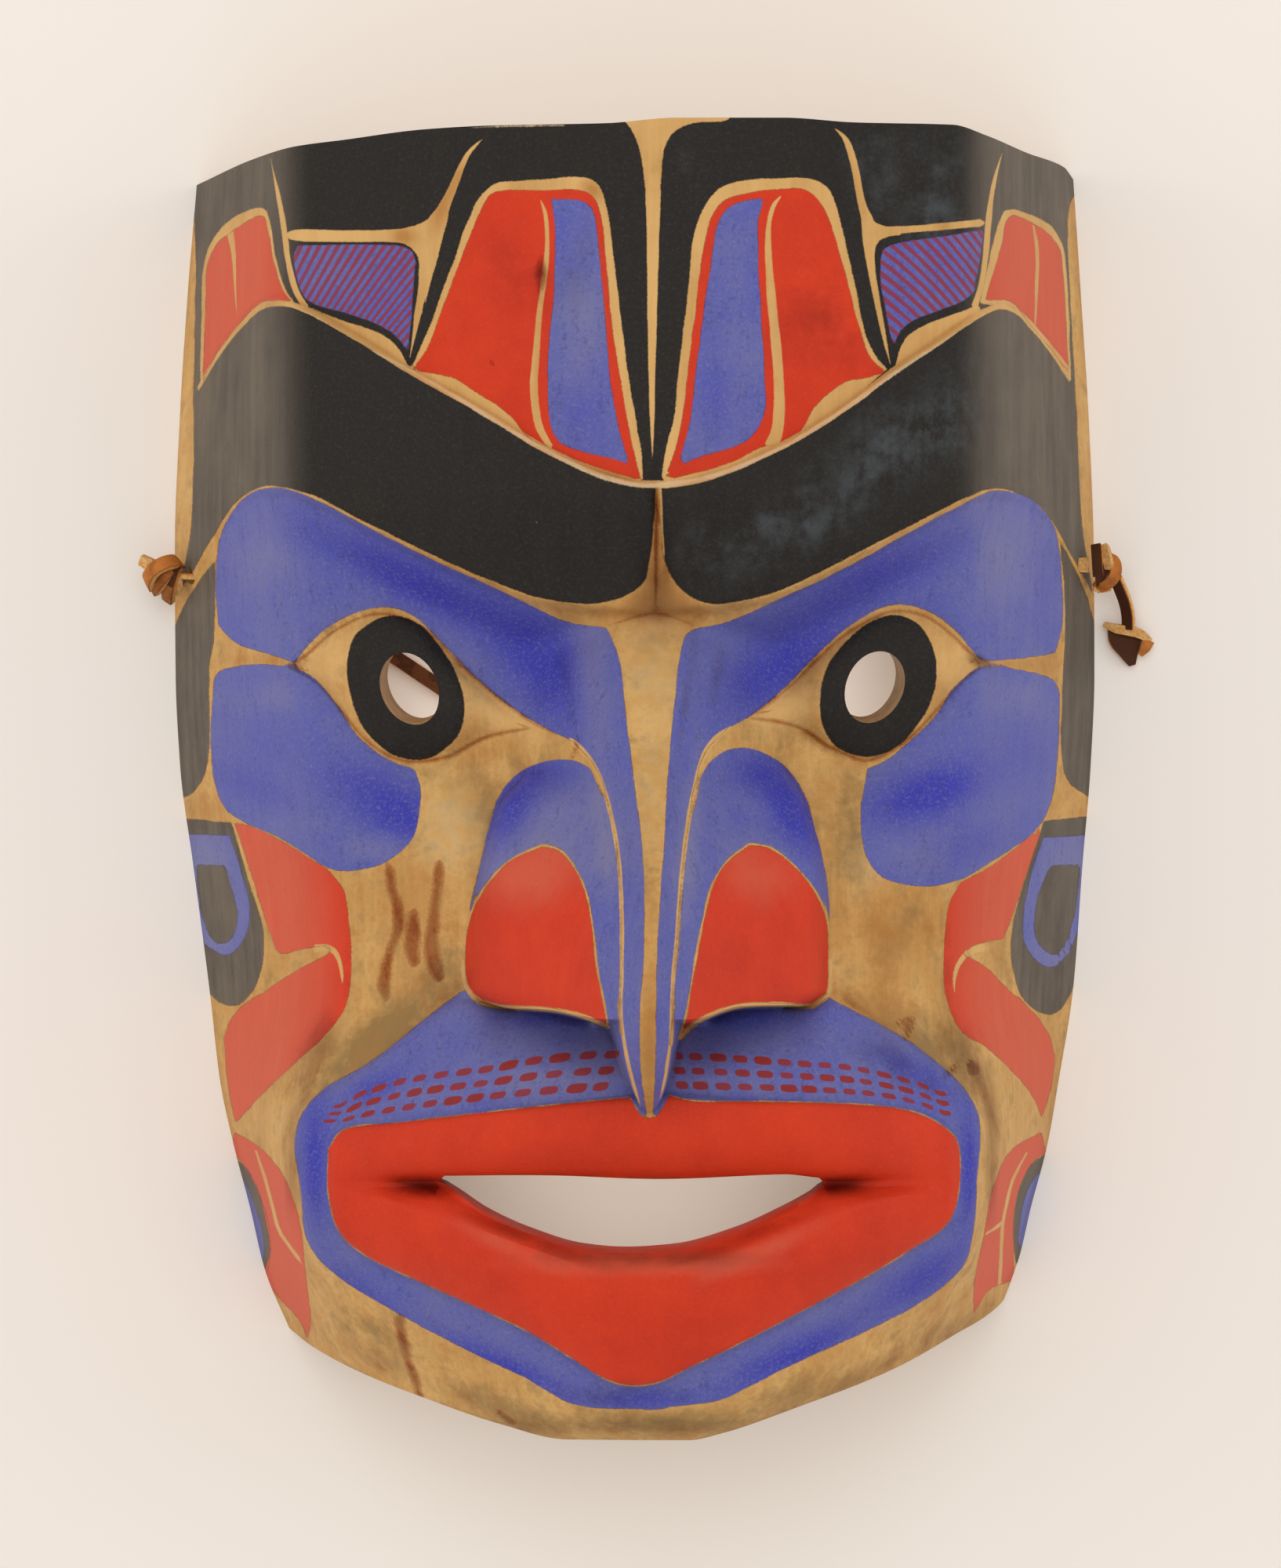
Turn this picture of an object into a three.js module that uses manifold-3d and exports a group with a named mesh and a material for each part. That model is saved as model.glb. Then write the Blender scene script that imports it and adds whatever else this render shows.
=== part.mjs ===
// Painted cedar mask: a half-barrel shell carved with a hooked beak, hollowed from behind,
// with its leather thong. It lies on its flat back rim, face up, crown towards +Y.
// Millimetres, +Z out of the face, origin under the middle of the mask.
import * as THREE from 'three';
import { mergeVertices } from 'three/addons/utils/BufferGeometryUtils.js';
import Module from 'manifold-3d';

const wasm = await Module();
wasm.setup();

// The carver's stencil. Outlines are drawn on it as they are seen from a point straight above
// the mask, in picture dots. A dot is 0.197 mm on the back rim and 0.178 mm on the forehead.
const VIEW_HEIGHT = 1000; // from the back rim up to the viewing point
const DOTS_AT_VIEW_HEIGHT = 5064; // dots that span as much as the viewing distance
const STENCIL_MIDDLE = [817, 1000];
const MIDDLE_FROM_CENTRE = [1.46, -0.86]; // where that spot lies on the mask, mm
const PLUMB_LINE = 828; // the carver's centre line, in dots

// Driving sizes of the wood
const WALL = 12; // thickness of the rim and of the front
const BEHIND_EYES = 10; // wood that is left in the hollow behind the sunk eyes
const END_WALLS = [72, 62]; // crown and chin, in dots
const RIM_DOTS = 5.2; // dots to a millimetre near the back rim
const FACE_DOTS = 5.8; // and at the beak
const BELOW = -0.5; // the blank reaches below the back rim before that is planed
const BROW_PROUD = 4;
const LIP_PROUD = 2.5;
const BEAK_ROOT = 8; // how softly the beak grows out of the sockets
const MOUTH_CORNER = 4.5; // how deep the corners of the mouth are cut
const MUZZLE_PROUD = 2.5;
const ORB_PROUD = 5;
const WING_STEP = 7; // side of a nostril above the cheek
const PUPIL = [13.6, 17.4]; // across the short way and the long way
const PUPIL_SPLAY = 2; // how far a pupil hole drifts on its way through the wood
const PUPIL_SIDES = 24;

// Thong
const THONG = 4; // width of the lace
const THONG_SIDES = 8;
const THONG_HOLE = 2.8; // radius of its holes in the side walls
const LEFT_HOLE = [-107, 51, 11];
const RIGHT_HOLE = [107.2, 53.7, 11];
const LEFT_KNOT = [-117.4, 50.6, 11];
const RIGHT_KNOT = [117.4, 53.3, 11];
const THONG_ROUTE = [[-112.9, 51, 11], [-107, 51, 11], [-99, 51, 11], [-93.5, 50.6, 10.7],
  [-88.5, 48.4, 9], [-82.5, 44.6, 6.2], [-76, 40.4, 3.8], [-69, 36.2, 2.5], [-60, 30.8, 2.2],
  [-50, 24.2, 2.2], [-37, 15.8, 2.2], [-22, 8, 2.2], [-6, 3, 2.2], [12, 0.6, 2.2],
  [30, 0.8, 2.2], [46, 3.4, 2.2], [59, 8, 2.2], [69, 14, 2.2], [76.5, 22.4, 2.7],
  [81.5, 32.4, 4.7], [85.5, 41.9, 7.7], [89.3, 49.4, 9.9], [94, 53.2, 10.9], [99.5, 53.7, 11],
  [107.2, 53.7, 11], [113, 53.7, 11]];
const END_ROUTE = [[121.4, 48.4, 7.2], [123, 44.9, 5], [123.9, 40.9, 3], [123.8, 36.9, 2.4]];
const FOLDED_END = [[117.7, 39.2], [124.2, 28.1], [129.3, 34.6], [125.8, 38.4]];

// Evens out to 0 below 0 and to 1 above 1, with a soft start and end.
function ease(t) {
  const c = Math.min(Math.max(t, 0), 1);
  return c * c * (3 - 2 * c);
}

// A smooth line through hand-set points, which never overshoots them.
function through(points) {
  const slope = [];
  for (let i = 0; i + 1 < points.length; i++) {
    slope.push((points[i + 1][1] - points[i][1]) / (points[i + 1][0] - points[i][0]));
  }
  const lean = points.map((_, i) => {
    const [a, b] = [slope[i - 1] ?? slope[i], slope[i] ?? slope[i - 1]];
    return a * b > 0 ? (2 * a * b) / (a + b) : 0;
  });
  return (at) => {
    let i = 0;
    while (i + 2 < points.length && at > points[i + 1][0]) i++;
    const wide = points[i + 1][0] - points[i][0];
    const t = Math.min(Math.max((at - points[i][0]) / wide, 0), 1);
    const [t2, t3] = [t * t, t * t * t];
    return (2 * t3 - 3 * t2 + 1) * points[i][1] + (3 * t2 - 2 * t3) * points[i + 1][1]
      + wide * ((t3 - 2 * t2 + t) * lean[i] + (t3 - t2) * lean[i + 1]);
  };
}

// Lines across the stencil: y dots for each x dot
const ACROSS = {
  crown: through([[251, 236], [323, 203], [375, 187], [441, 178], [540, 165], [627, 160],
    [774, 157], [863, 150], [1000, 150], [1089, 156], [1215, 159], [1259, 173], [1310, 195],
    [1357, 213], [1369, 229]]),
  browTop: through([[228, 540], [259, 486], [300, 425], [335, 392], [360, 387], [390, 398],
    [457, 436], [524, 478], [615, 529], [694, 577], [754, 604], [793, 618], [837, 623],
    [880, 619], [919, 608], [998, 573], [1077, 525], [1140, 478], [1195, 442], [1251, 405],
    [1276, 396], [1298, 403], [1330, 434], [1363, 474], [1393, 520]]),
  browFoot: through([[224, 760], [247, 727], [299, 643], [330, 622], [354, 620], [402, 633],
    [457, 661], [556, 710], [635, 744], [687, 762], [746, 770], [833, 777], [907, 770],
    [946, 766], [998, 752], [1045, 730], [1156, 673], [1227, 637], [1267, 623], [1300, 630],
    [1335, 655], [1365, 705], [1396, 765]]),
  muzzleTop: through([[270, 1405], [386, 1403], [411, 1391], [475, 1353], [539, 1302], [593, 1272],
    [650, 1284], [703, 1288], [774, 1300], [881, 1300], [946, 1283], [1039, 1281], [1058, 1272],
    [1148, 1321], [1218, 1375], [1243, 1395], [1365, 1400]]),
  lipTop: through([[290, 1470], [419, 1455], [450, 1438], [509, 1432], [637, 1417], [739, 1406],
    [803, 1400], [853, 1397], [953, 1405], [1020, 1406], [1132, 1412], [1190, 1428],
    [1221, 1450], [1340, 1470]]),
  mouthTop: through([[309, 1503], [501, 1508], [555, 1505], [709, 1500], [840, 1504],
    [1001, 1498], [1055, 1505], [1330, 1505]]),
  mouthFoot: through([[310, 1513], [501, 1514], [555, 1515], [573, 1523], [619, 1551],
    [673, 1573], [744, 1591], [791, 1594], [859, 1590], [938, 1570], [997, 1546], [1037, 1526],
    [1055, 1514], [1328, 1513]]),
  lipRidge: through([[318, 1524], [480, 1528], [530, 1543], [619, 1571], [709, 1603],
    [780, 1624], [830, 1620], [899, 1609], [978, 1582], [1060, 1547], [1160, 1525], [1322, 1524]]),
  lipFoot: through([[325, 1562], [419, 1555], [434, 1573], [466, 1601], [530, 1632], [601, 1664],
    [673, 1698], [726, 1730], [773, 1759], [803, 1767], [839, 1762], [879, 1744], [938, 1716],
    [1017, 1675], [1096, 1633], [1156, 1597], [1207, 1562], [1225, 1550], [1312, 1550]]),
  chin: through([[340, 1630], [398, 1612], [416, 1622], [509, 1676], [601, 1725], [673, 1759],
    [726, 1786], [780, 1795], [859, 1793], [918, 1784], [958, 1767], [1025, 1734], [1108, 1696],
    [1175, 1661], [1227, 1617], [1300, 1597]]),
  foot: through([[369, 1694], [398, 1717], [459, 1750], [544, 1784], [637, 1816], [723, 1836],
    [879, 1837], [918, 1829], [1017, 1795], [1136, 1748], [1215, 1704], [1278, 1661],
    [1290, 1633]]),
};

// Lines down the stencil: x dots for each y dot
const DOWN = {
  leftRim: through([[236, 251], [380, 239], [540, 229], [700, 223], [860, 224], [980, 230],
    [1100, 246], [1260, 267], [1380, 281], [1460, 298], [1540, 319], [1620, 338], [1694, 369]]),
  leftCorner: through([[186, 375], [640, 375], [900, 385], [1050, 405], [1150, 425], [1260, 428],
    [1360, 400], [1430, 382], [1520, 386], [1590, 400], [1640, 425], [1750, 459]]),
  leftWing: through([[150, 610], [800, 640], [930, 690], [985, 668], [1030, 632], [1114, 609],
    [1221, 594], [1262, 597], [1300, 640], [1837, 640]]),
  leftBase: through([[150, 740], [780, 735], [930, 722], [979, 735], [1100, 755], [1260, 766],
    [1310, 776], [1354, 793], [1385, 803], [1404, 810], [1418, 820], [1460, 790], [1837, 770]]),
  leftFlank: through([[150, 765], [780, 765], [930, 745], [979, 760], [1032, 778], [1096, 789],
    [1168, 793], [1293, 792], [1346, 797], [1385, 807], [1404, 815], [1418, 823], [1460, 800],
    [1837, 790]]),
  leftRidge: through([[150, 806], [780, 792], [814, 786], [900, 797], [1007, 810], [1079, 819],
    [1150, 822], [1221, 821], [1293, 816], [1364, 817], [1400, 821], [1420, 825], [1460, 818],
    [1837, 815]]),
  rightRidge: through([[150, 850], [780, 878], [811, 874], [900, 860], [1007, 851], [1079, 847],
    [1150, 842], [1221, 838], [1293, 837], [1364, 836], [1400, 834], [1420, 832], [1460, 840],
    [1837, 843]]),
  rightFlank: through([[150, 885], [780, 900], [930, 912], [961, 899], [1000, 887], [1061, 876],
    [1121, 869], [1184, 864], [1257, 858], [1329, 854], [1385, 847], [1404, 841], [1418, 834],
    [1460, 862], [1837, 875]]),
  rightBase: through([[150, 910], [780, 925], [930, 935], [979, 915], [1100, 895], [1260, 880],
    [1310, 874], [1354, 860], [1385, 851], [1404, 846], [1418, 837], [1460, 880], [1837, 900]]),
  rightWing: through([[150, 1040], [800, 1020], [920, 965], [975, 1000], [1018, 1028], [1114, 1053],
    [1193, 1058], [1262, 1056], [1300, 1015], [1837, 1015]]),
  rightCorner: through([[160, 1240], [640, 1240], [900, 1245], [1050, 1230], [1150, 1214],
    [1260, 1212], [1340, 1235], [1430, 1250], [1520, 1247], [1590, 1236], [1640, 1213],
    [1704, 1195]]),
  rightRim: through([[229, 1369], [380, 1379], [540, 1389], [700, 1395], [860, 1396], [980, 1391],
    [1100, 1381], [1260, 1369], [1380, 1350], [1460, 1336], [1540, 1315], [1600, 1301],
    [1633, 1290]]),
};

// Heights down the mask in mm: the middle of the shell without its beak, the corners where the
// front turns into the side walls, and the ridge of the beak
const MIDDLE = through([[150, 99], [400, 101], [620, 99], [790, 90], [1000, 87], [1250, 90],
  [1400, 103], [1505, 101], [1620, 105], [1765, 97], [1837, 89]]);
const LEFT_CORNER = through([[186, 64], [600, 69], [900, 64], [1100, 60], [1260, 58], [1400, 64],
  [1505, 72], [1600, 64], [1750, 46]]);
const RIGHT_CORNER = through([[160, 84], [600, 79], [900, 70], [1100, 64], [1260, 60],
  [1400, 66], [1505, 74], [1600, 66], [1704, 48]]);
const BEAK = through([[740, 84], [790, 90], [814, 93], [900, 105], [1007, 118], [1079, 128],
  [1150, 138], [1221, 145], [1270, 148], [1310, 147], [1350, 141], [1385, 129], [1405, 118],
  [1422, 106]]);
// How steeply its sides fall, mm per mm: down to the fine line, and below it
const FLANK_FALL = through([[790, 1.25], [930, 1.3], [1060, 1.9], [1280, 2], [1422, 2.6]]);
const SIDE_FALL = through([[790, 1.25], [930, 1.4], [1060, 3], [1260, 9], [1310, 18],
  [1350, 26], [1422, 34]]);

// How deep the sockets lie below the shell, for each x dot
const SOCKET = through([[224, 0], [300, 2], [375, 5], [520, 9], [620, 11], [700, 13], [760, 11],
  [823, 5], [890, 11], [960, 14], [1040, 13], [1116, 11], [1240, 6], [1340, 2], [1396, 0]]);

// Eyelids: upper and lower line of each almond, y dots for each x dot
const EYES = [
  { ends: [378, 726],
    upper: through([[378, 845], [398, 821], [437, 793], [489, 779], [528, 791], [568, 829],
      [615, 876], [675, 920], [726, 943]]),
    lower: through([[378, 845], [430, 896], [457, 936], [497, 967], [536, 973], [576, 963],
      [615, 942], [655, 936], [726, 943]]),
    pupil: [522, 879], tilt: -0.38, splay: [0.2, 0.67] },
  { ends: [958, 1251],
    upper: through([[958, 916], [998, 884], [1045, 837], [1093, 797], [1136, 777], [1176, 781],
      [1215, 805], [1251, 843]]),
    lower: through([[958, 916], [998, 922], [1029, 940], [1057, 959], [1100, 973], [1156, 947],
      [1195, 908], [1251, 843]]),
    pupil: [1116, 877], tilt: 0.4, splay: [-0.35, 0.7] },
];

// The shell before carving. For the hollow its lines move in by the wall's thickness.
function shell(x, y, hollow) {
  const left = x < PLUMB_LINE;
  const inward = left ? 1 : -1;
  const dots = hollow ? WALL * RIM_DOTS : 0;
  const rim = (left ? DOWN.leftRim(y) : DOWN.rightRim(y)) + inward * dots;
  const corner = (left ? DOWN.leftCorner(y) : DOWN.rightCorner(y)) + inward * dots * 0.7;
  const thinner = hollow ? WALL : 0;
  const high = (left ? LEFT_CORNER(y) : RIGHT_CORNER(y)) - thinner * 0.8;
  const middle = MIDDLE(y) - thinner;
  const up = (x - rim) / (corner - rim);
  if (up < 1) return high * up * (1.2 - 0.2 * up);
  const over = Math.min((x - corner) / (PLUMB_LINE - corner), 1);
  return high + (middle - high) * (1 - (1 - over) ** (left ? 1.7 : 2.6));
}

// The shell with its corners rounded over
function rounded(x, y) {
  const reach = 12;
  return (shell(x - reach, y) + 2 * shell(x, y) + shell(x + reach, y)) / 4;
}

function socket(x, y) {
  const below = ease((y - ACROSS.browFoot(x)) / 75);
  return SOCKET(x) * below * (1 - ease((y - 960) / 150));
}

function brow(x, y) {
  const on = ease((y - ACROSS.browTop(x) + 9) / 9) * (1 - ease((y - ACROSS.browFoot(x)) / 14));
  const side = 0.4 + 0.6 * ease((x - 290) / 80) * ease((1330 - x) / 80);
  const half = 4 + 18 * ease((y - 640) / 130);
  const parting = ease((Math.abs(x - 838) - half) / 10);
  return on * side * (BROW_PROUD * (0.35 + 0.65 * parting));
}

function orb(x, y) {
  for (const eye of EYES) {
    if (x <= eye.ends[0] || x >= eye.ends[1]) continue;
    const [top, foot] = [eye.upper(x), eye.lower(x)];
    const half = (foot - top) / 2;
    const off = half > 0 ? (y - (top + foot) / 2) / half : 2;
    if (Math.abs(off) < 1) return ORB_PROUD * (1 - off * off) * Math.min(1, half / 60);
  }
  return 0;
}

function cheek(x, y) {
  const left = x < PLUMB_LINE;
  const [mx, my] = left ? [415, 1000] : [1215, 1010];
  const r = Math.hypot((x - mx) / 150, (y - my) / 125);
  return 4 * (1 - ease(r));
}

function face(x, y) {
  return rounded(x, y) + brow(x, y) - socket(x, y) + orb(x, y) + cheek(x, y);
}

// The beak alone: a flat-topped ridge, its flanks down to the fine line, and steep sides
function beak(x, y) {
  if (y > 1424) return -Infinity;
  const left = x < PLUMB_LINE;
  const ridge = left ? DOWN.leftRidge(y) : DOWN.rightRidge(y);
  const line = left ? DOWN.leftFlank(y) : DOWN.rightFlank(y);
  const out = Math.max(left ? ridge - x : x - ridge, 0) / FACE_DOTS;
  const flank = Math.abs(ridge - line) / FACE_DOTS;
  return BEAK(y) - FLANK_FALL(y) * Math.min(out, flank)
    - SIDE_FALL(y) * Math.max(out - flank, 0);
}

// A nostril wing leans from the beak's flank down to the cheek and ends in a step.
function wing(x, y) {
  const left = x < PLUMB_LINE;
  const outer = left ? DOWN.leftWing(y) : DOWN.rightWing(y);
  const inner = left ? DOWN.leftFlank(y) : DOWN.rightFlank(y);
  const f = (x - outer) / (inner - outer);
  if (f < 0 || f > 1.05) return -Infinity;
  const below = y - ACROSS.muzzleTop(x);
  if (below > 7) return -Infinity;
  const [foot, top] = [face(outer, y), beak(inner, y)];
  const step = WING_STEP * ease((y - 940) / 90);
  const body = foot + step * ease(f / 0.1) + (top - foot - step) * (0.75 * f + 0.25 * f ** 3);
  const swell = 5 * ease((y - 1040) / 140) * Math.sin(Math.PI * Math.min(f, 1));
  return body + swell - (below > 0 ? 6 * below : 0);
}

function muzzle(x, y) {
  const from = y - ACROSS.muzzleTop(x);
  if (from < 0) return 0;
  const across = ease((x - 375) / 24) * ease((1258 - x) / 24);
  const [lipTop, lipFoot] = [ACROSS.lipTop(x), ACROSS.lipFoot(x)];
  let z = MUZZLE_PROUD * ease(from / 10);
  const underNose = ease((x - 590) / 60) * ease((1060 - x) / 60);
  z -= 5 * underNose * (1 - ease(from / 80));
  const lips = ease((x - 413) / 16) * ease((1227 - x) / 16)
    * ease((y - lipTop + 4) / 8) * ease((lipFoot + 4 - y) / 8);
  const [top, foot, ridge] = [ACROSS.mouthTop(x), ACROSS.mouthFoot(x), ACROSS.lipRidge(x)];
  const gape = ease((x - 400) / 150) * ease((1240 - x) / 150);
  let lip = LIP_PROUD;
  if (y < top) {
    const t = Math.max(0, (y - lipTop) / (top - lipTop));
    lip += gape * (1.5 * Math.sin(Math.PI * t) - 5 * t ** 3);
  } else if (y < ridge) {
    lip -= gape * 5 * (y < foot ? 1 : 1 - (y - foot) / (ridge - foot));
  } else {
    lip += gape * 1.5 * Math.sin(Math.PI * Math.min(1, (y - ridge) / (lipFoot - ridge)));
  }
  const corner = ease((x - 450) / 90) * ease((1168 - x) / 90);
  lip -= MOUTH_CORNER * corner * Math.exp(-(((y - 1509) / 9) ** 2));
  z += lips * lip;
  const turned = (y - ACROSS.chin(x)) / (ACROSS.foot(x) - ACROSS.chin(x));
  const under = turned > 0 ? 7 * Math.min(turned, 1) ** 2 : 0;
  return across * (z - under);
}

// The higher of two heights, with a hollow of a given size where they are alike
function joined(a, b, size) {
  const near = Math.max(size - Math.abs(a - b), 0);
  return Math.max(a, b) + near ** 2 / (4 * size);
}

// Height of the carved front over the back rim at a spot of the stencil
function front(x, y) {
  const root = 0.1 + BEAK_ROOT * (1 - ease((y - 900) / 150));
  const under = Math.max(joined(face(x, y) + muzzle(x, y), beak(x, y), root), 0);
  return under + ease((y - 860) / 110) * Math.max(wing(x, y) - under, 0);
}

// From a spot of the stencil and its height to the mask's own frame
function seen(x, y, z) {
  const dot = (VIEW_HEIGHT - z) / DOTS_AT_VIEW_HEIGHT;
  return [(x - STENCIL_MIDDLE[0]) * dot + MIDDLE_FROM_CENTRE[0],
    (STENCIL_MIDDLE[1] - y) * dot + MIDDLE_FROM_CENTRE[1], z];
}

// Where a line across and a line down meet
function meet(acrossLine, downLine) {
  let [x, y] = [PLUMB_LINE, acrossLine(PLUMB_LINE)];
  for (let i = 0; i < 12; i++) {
    x = downLine(y);
    y = acrossLine(x);
  }
  return [x, y];
}

// Lines between hand-set lines: [first, second, how many steps to the next] repeated
function ruled(lines, steps) {
  const out = [lines[0]];
  steps.forEach((count, i) => {
    for (let k = 1; k <= count; k++) {
      const t = k / count;
      out.push((at) => lines[i](at) * (1 - t) + lines[i + 1](at) * t);
    }
  });
  return out;
}

const shifted = (line, by) => (at) => line(at) + by;

// A closed body over a ruled patch of the stencil, from its heights straight down to `under`
function bodyOver(rows, columns, height, under) {
  const [n, m] = [rows.length, columns.length];
  const points = [];
  const faces = [];
  const at = (i, j) => i * m + j;
  for (const row of rows) {
    for (const column of columns) {
      const [x, y] = meet(row, column);
      points.push(seen(x, y, height(x, y)));
    }
  }
  const quad = (a, b, c, d) => faces.push([a, b, c], [a, c, d]);
  for (let i = 0; i + 1 < n; i++) {
    for (let j = 0; j + 1 < m; j++) {
      quad(at(i, j), at(i + 1, j), at(i + 1, j + 1), at(i, j + 1));
    }
  }
  const rim = [];
  for (let j = m - 1; j > 0; j--) rim.push(at(0, j));
  for (let i = 0; i < n - 1; i++) rim.push(at(i, 0));
  for (let j = 0; j < m - 1; j++) rim.push(at(n - 1, j));
  for (let i = n - 1; i > 0; i--) rim.push(at(i, m - 1));
  const below = rim.map((k) => points.push([points[k][0], points[k][1], under]) - 1);
  const hub = points.push([0, 0, under]) - 1;
  rim.forEach((k, i) => {
    const next = (i + 1) % rim.length;
    quad(k, below[i], below[next], rim[next]);
    faces.push([below[i], hub, below[next]]);
  });
  return closedBody(points, faces);
}

function closedBody(points, faces) {
  const geometry = new THREE.BufferGeometry();
  geometry.setAttribute('position', new THREE.Float32BufferAttribute(points.flat(), 3));
  geometry.setIndex(faces.flat());
  return solidOf(geometry);
}

function solidOf(geometry) {
  geometry.deleteAttribute('normal');
  geometry.deleteAttribute('uv');
  const merged = mergeVertices(geometry, 1e-4);
  const kept = [];
  const index = merged.index.array;
  for (let i = 0; i < index.length; i += 3) {
    const [a, b, c] = [index[i], index[i + 1], index[i + 2]];
    if (a !== b && b !== c && c !== a) kept.push(a, b, c);
  }
  return new wasm.Manifold(new wasm.Mesh({
    numProp: 3,
    vertProperties: new Float32Array(merged.attributes.position.array),
    triVerts: new Uint32Array(kept),
  }));
}

function geometryOf(solid) {
  const mesh = solid.getMesh();
  const geometry = new THREE.BufferGeometry();
  geometry.setAttribute('position', new THREE.BufferAttribute(mesh.vertProperties, 3));
  geometry.setIndex(new THREE.BufferAttribute(mesh.triVerts, 1));
  return geometry;
}

// A prism whose two ends are outlines with as many points: the front end and the back end
function prism(frontEnd, backEnd) {
  const n = frontEnd.length;
  const points = [...frontEnd, ...backEnd];
  const faces = [];
  for (let i = 0; i < n; i++) {
    const j = (i + 1) % n;
    faces.push([i, n + i, n + j], [i, n + j, j]);
    if (i > 0 && i + 1 < n) faces.push([0, i, i + 1], [n, n + i + 1, n + i]);
  }
  return closedBody(points, faces);
}

function pupilHole(eye) {
  const [top, low] = [100, 50];
  const [cx, cy] = eye.pupil;
  const surface = front(cx, cy);
  const ring = (z) => {
    const drift = PUPIL_SPLAY * (surface - z) / WALL;
    const [mx, my] = seen(cx, cy, surface);
    return Array.from({ length: PUPIL_SIDES }, (_, k) => {
      const a = (2 * Math.PI * k) / PUPIL_SIDES;
      const [u, v] = [PUPIL[0] / 2 * Math.cos(a), PUPIL[1] / 2 * Math.sin(a)];
      const [c, s] = [Math.cos(-eye.tilt), Math.sin(-eye.tilt)];
      return [mx + u * c - v * s + drift * eye.splay[0],
        my + u * s + v * c + drift * eye.splay[1], z];
    });
  };
  return prism(ring(top), ring(low));
}

function mouthHole() {
  const [from, to, steps] = [556, 1054, 14];
  const xs = Array.from({ length: steps + 1 }, (_, k) => from + ((to - from) * k) / steps);
  const lower = xs.map((x) => [x, ACROSS.mouthFoot(x)]);
  const upper = xs.slice(1, -1).reverse().map((x) => [x, ACROSS.mouthTop(x)]);
  const outline = [...lower, ...upper];
  const at = (z, depth) => outline.map(([x, y]) => [...seen(x, y, depth).slice(0, 2), z]);
  return prism(at(125, 98), at(50, 98));
}

function rod(from, to, radius, sides) {
  const [a, b] = [new THREE.Vector3(...from), new THREE.Vector3(...to)];
  const along = b.clone().sub(a);
  const geometry = new THREE.CylinderGeometry(radius, radius, along.length(), sides);
  geometry.applyQuaternion(new THREE.Quaternion().setFromUnitVectors(
    new THREE.Vector3(0, 1, 0), along.normalize()));
  geometry.translate(...a.add(b).multiplyScalar(0.5).toArray());
  return geometry;
}

function cedarMask() {
  const rows = ruled(
    [ACROSS.crown, shifted(ACROSS.browTop, -9), ACROSS.browTop, ACROSS.browFoot,
      shifted(ACROSS.browFoot, 14), ACROSS.muzzleTop, shifted(ACROSS.muzzleTop, 6),
      shifted(ACROSS.lipTop, -4), shifted(ACROSS.lipTop, 4), ACROSS.mouthTop, ACROSS.mouthFoot,
      ACROSS.lipRidge, shifted(ACROSS.lipFoot, -4), shifted(ACROSS.lipFoot, 4), ACROSS.chin,
      ACROSS.foot],
    [6, 1, 4, 1, 22, 1, 4, 1, 4, 1, 2, 5, 1, 2, 4]);
  const columns = ruled(
    [DOWN.leftRim, DOWN.leftCorner, DOWN.leftWing, DOWN.leftBase, DOWN.leftFlank, DOWN.leftRidge,
      DOWN.rightRidge, DOWN.rightFlank, DOWN.rightBase, DOWN.rightWing, DOWN.rightCorner,
      DOWN.rightRim],
    [5, 9, 7, 1, 2, 2, 2, 1, 7, 9, 5]);
  let solid = bodyOver(rows, columns, front, BELOW).subtract(hollow());
  for (const eye of EYES) solid = solid.subtract(pupilHole(eye));
  solid = solid.subtract(mouthHole());
  for (const hole of [LEFT_HOLE, RIGHT_HOLE]) {
    const [from, to] = [-16, 16].map((by) => [hole[0] + by, hole[1], hole[2]]);
    solid = solid.subtract(solidOf(rod(from, to, THONG_HOLE, 10)));
  }
  // The back rim is planed flat.
  const plane = new THREE.BoxGeometry(400, 400, 20);
  plane.translate(0, 0, -10);
  return geometryOf(solid.subtract(solidOf(plane)));
}

// What the carver takes out from behind: the shell drawn in by the wall, with end walls at the
// crown and the chin, and room taken back behind the sunk eyes
function hollow() {
  const side = WALL * RIM_DOTS;
  const rows = ruled([shifted(ACROSS.crown, END_WALLS[0]), shifted(ACROSS.foot, -END_WALLS[1])],
    [18]);
  const columns = ruled([shifted(DOWN.leftRim, side), shifted(DOWN.leftCorner, side * 0.7),
    shifted(DOWN.rightCorner, -side * 0.7), shifted(DOWN.rightRim, -side)], [4, 14, 4]);
  const spared = (y) => BEHIND_EYES * ease((y - 480) / 320) * (1 - ease((y - 980) / 380));
  return bodyOver(rows, columns, (x, y) => Math.max(shell(x, y, true) - spared(y), 0),
    10 * BELOW);
}

// A strip or a cord of an outline along a smooth line through points, mm
function along(outline, points, steps) {
  const path = new THREE.CatmullRomCurve3(points.map((p) => new THREE.Vector3(...p)),
    false, 'centripetal');
  return new THREE.ExtrudeGeometry(outline, { steps, extrudePath: path });
}

function round(radius, sides) {
  const shape = new THREE.Shape();
  for (let k = 0; k < sides; k++) {
    const a = (2 * Math.PI * k) / sides;
    shape[k ? 'lineTo' : 'moveTo'](radius * Math.cos(a), radius * Math.sin(a));
  }
  return shape;
}

function flat(width, thick) {
  const shape = new THREE.Shape();
  shape.moveTo(-thick / 2, -width / 2);
  shape.lineTo(thick / 2, -width / 2);
  shape.lineTo(thick / 2, width / 2);
  shape.lineTo(-thick / 2, width / 2);
  return shape;
}

function lump(middle, radii) {
  const ball = new THREE.SphereGeometry(1, 12, 8);
  ball.scale(...radii);
  ball.translate(...middle);
  return solidOf(ball);
}

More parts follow.
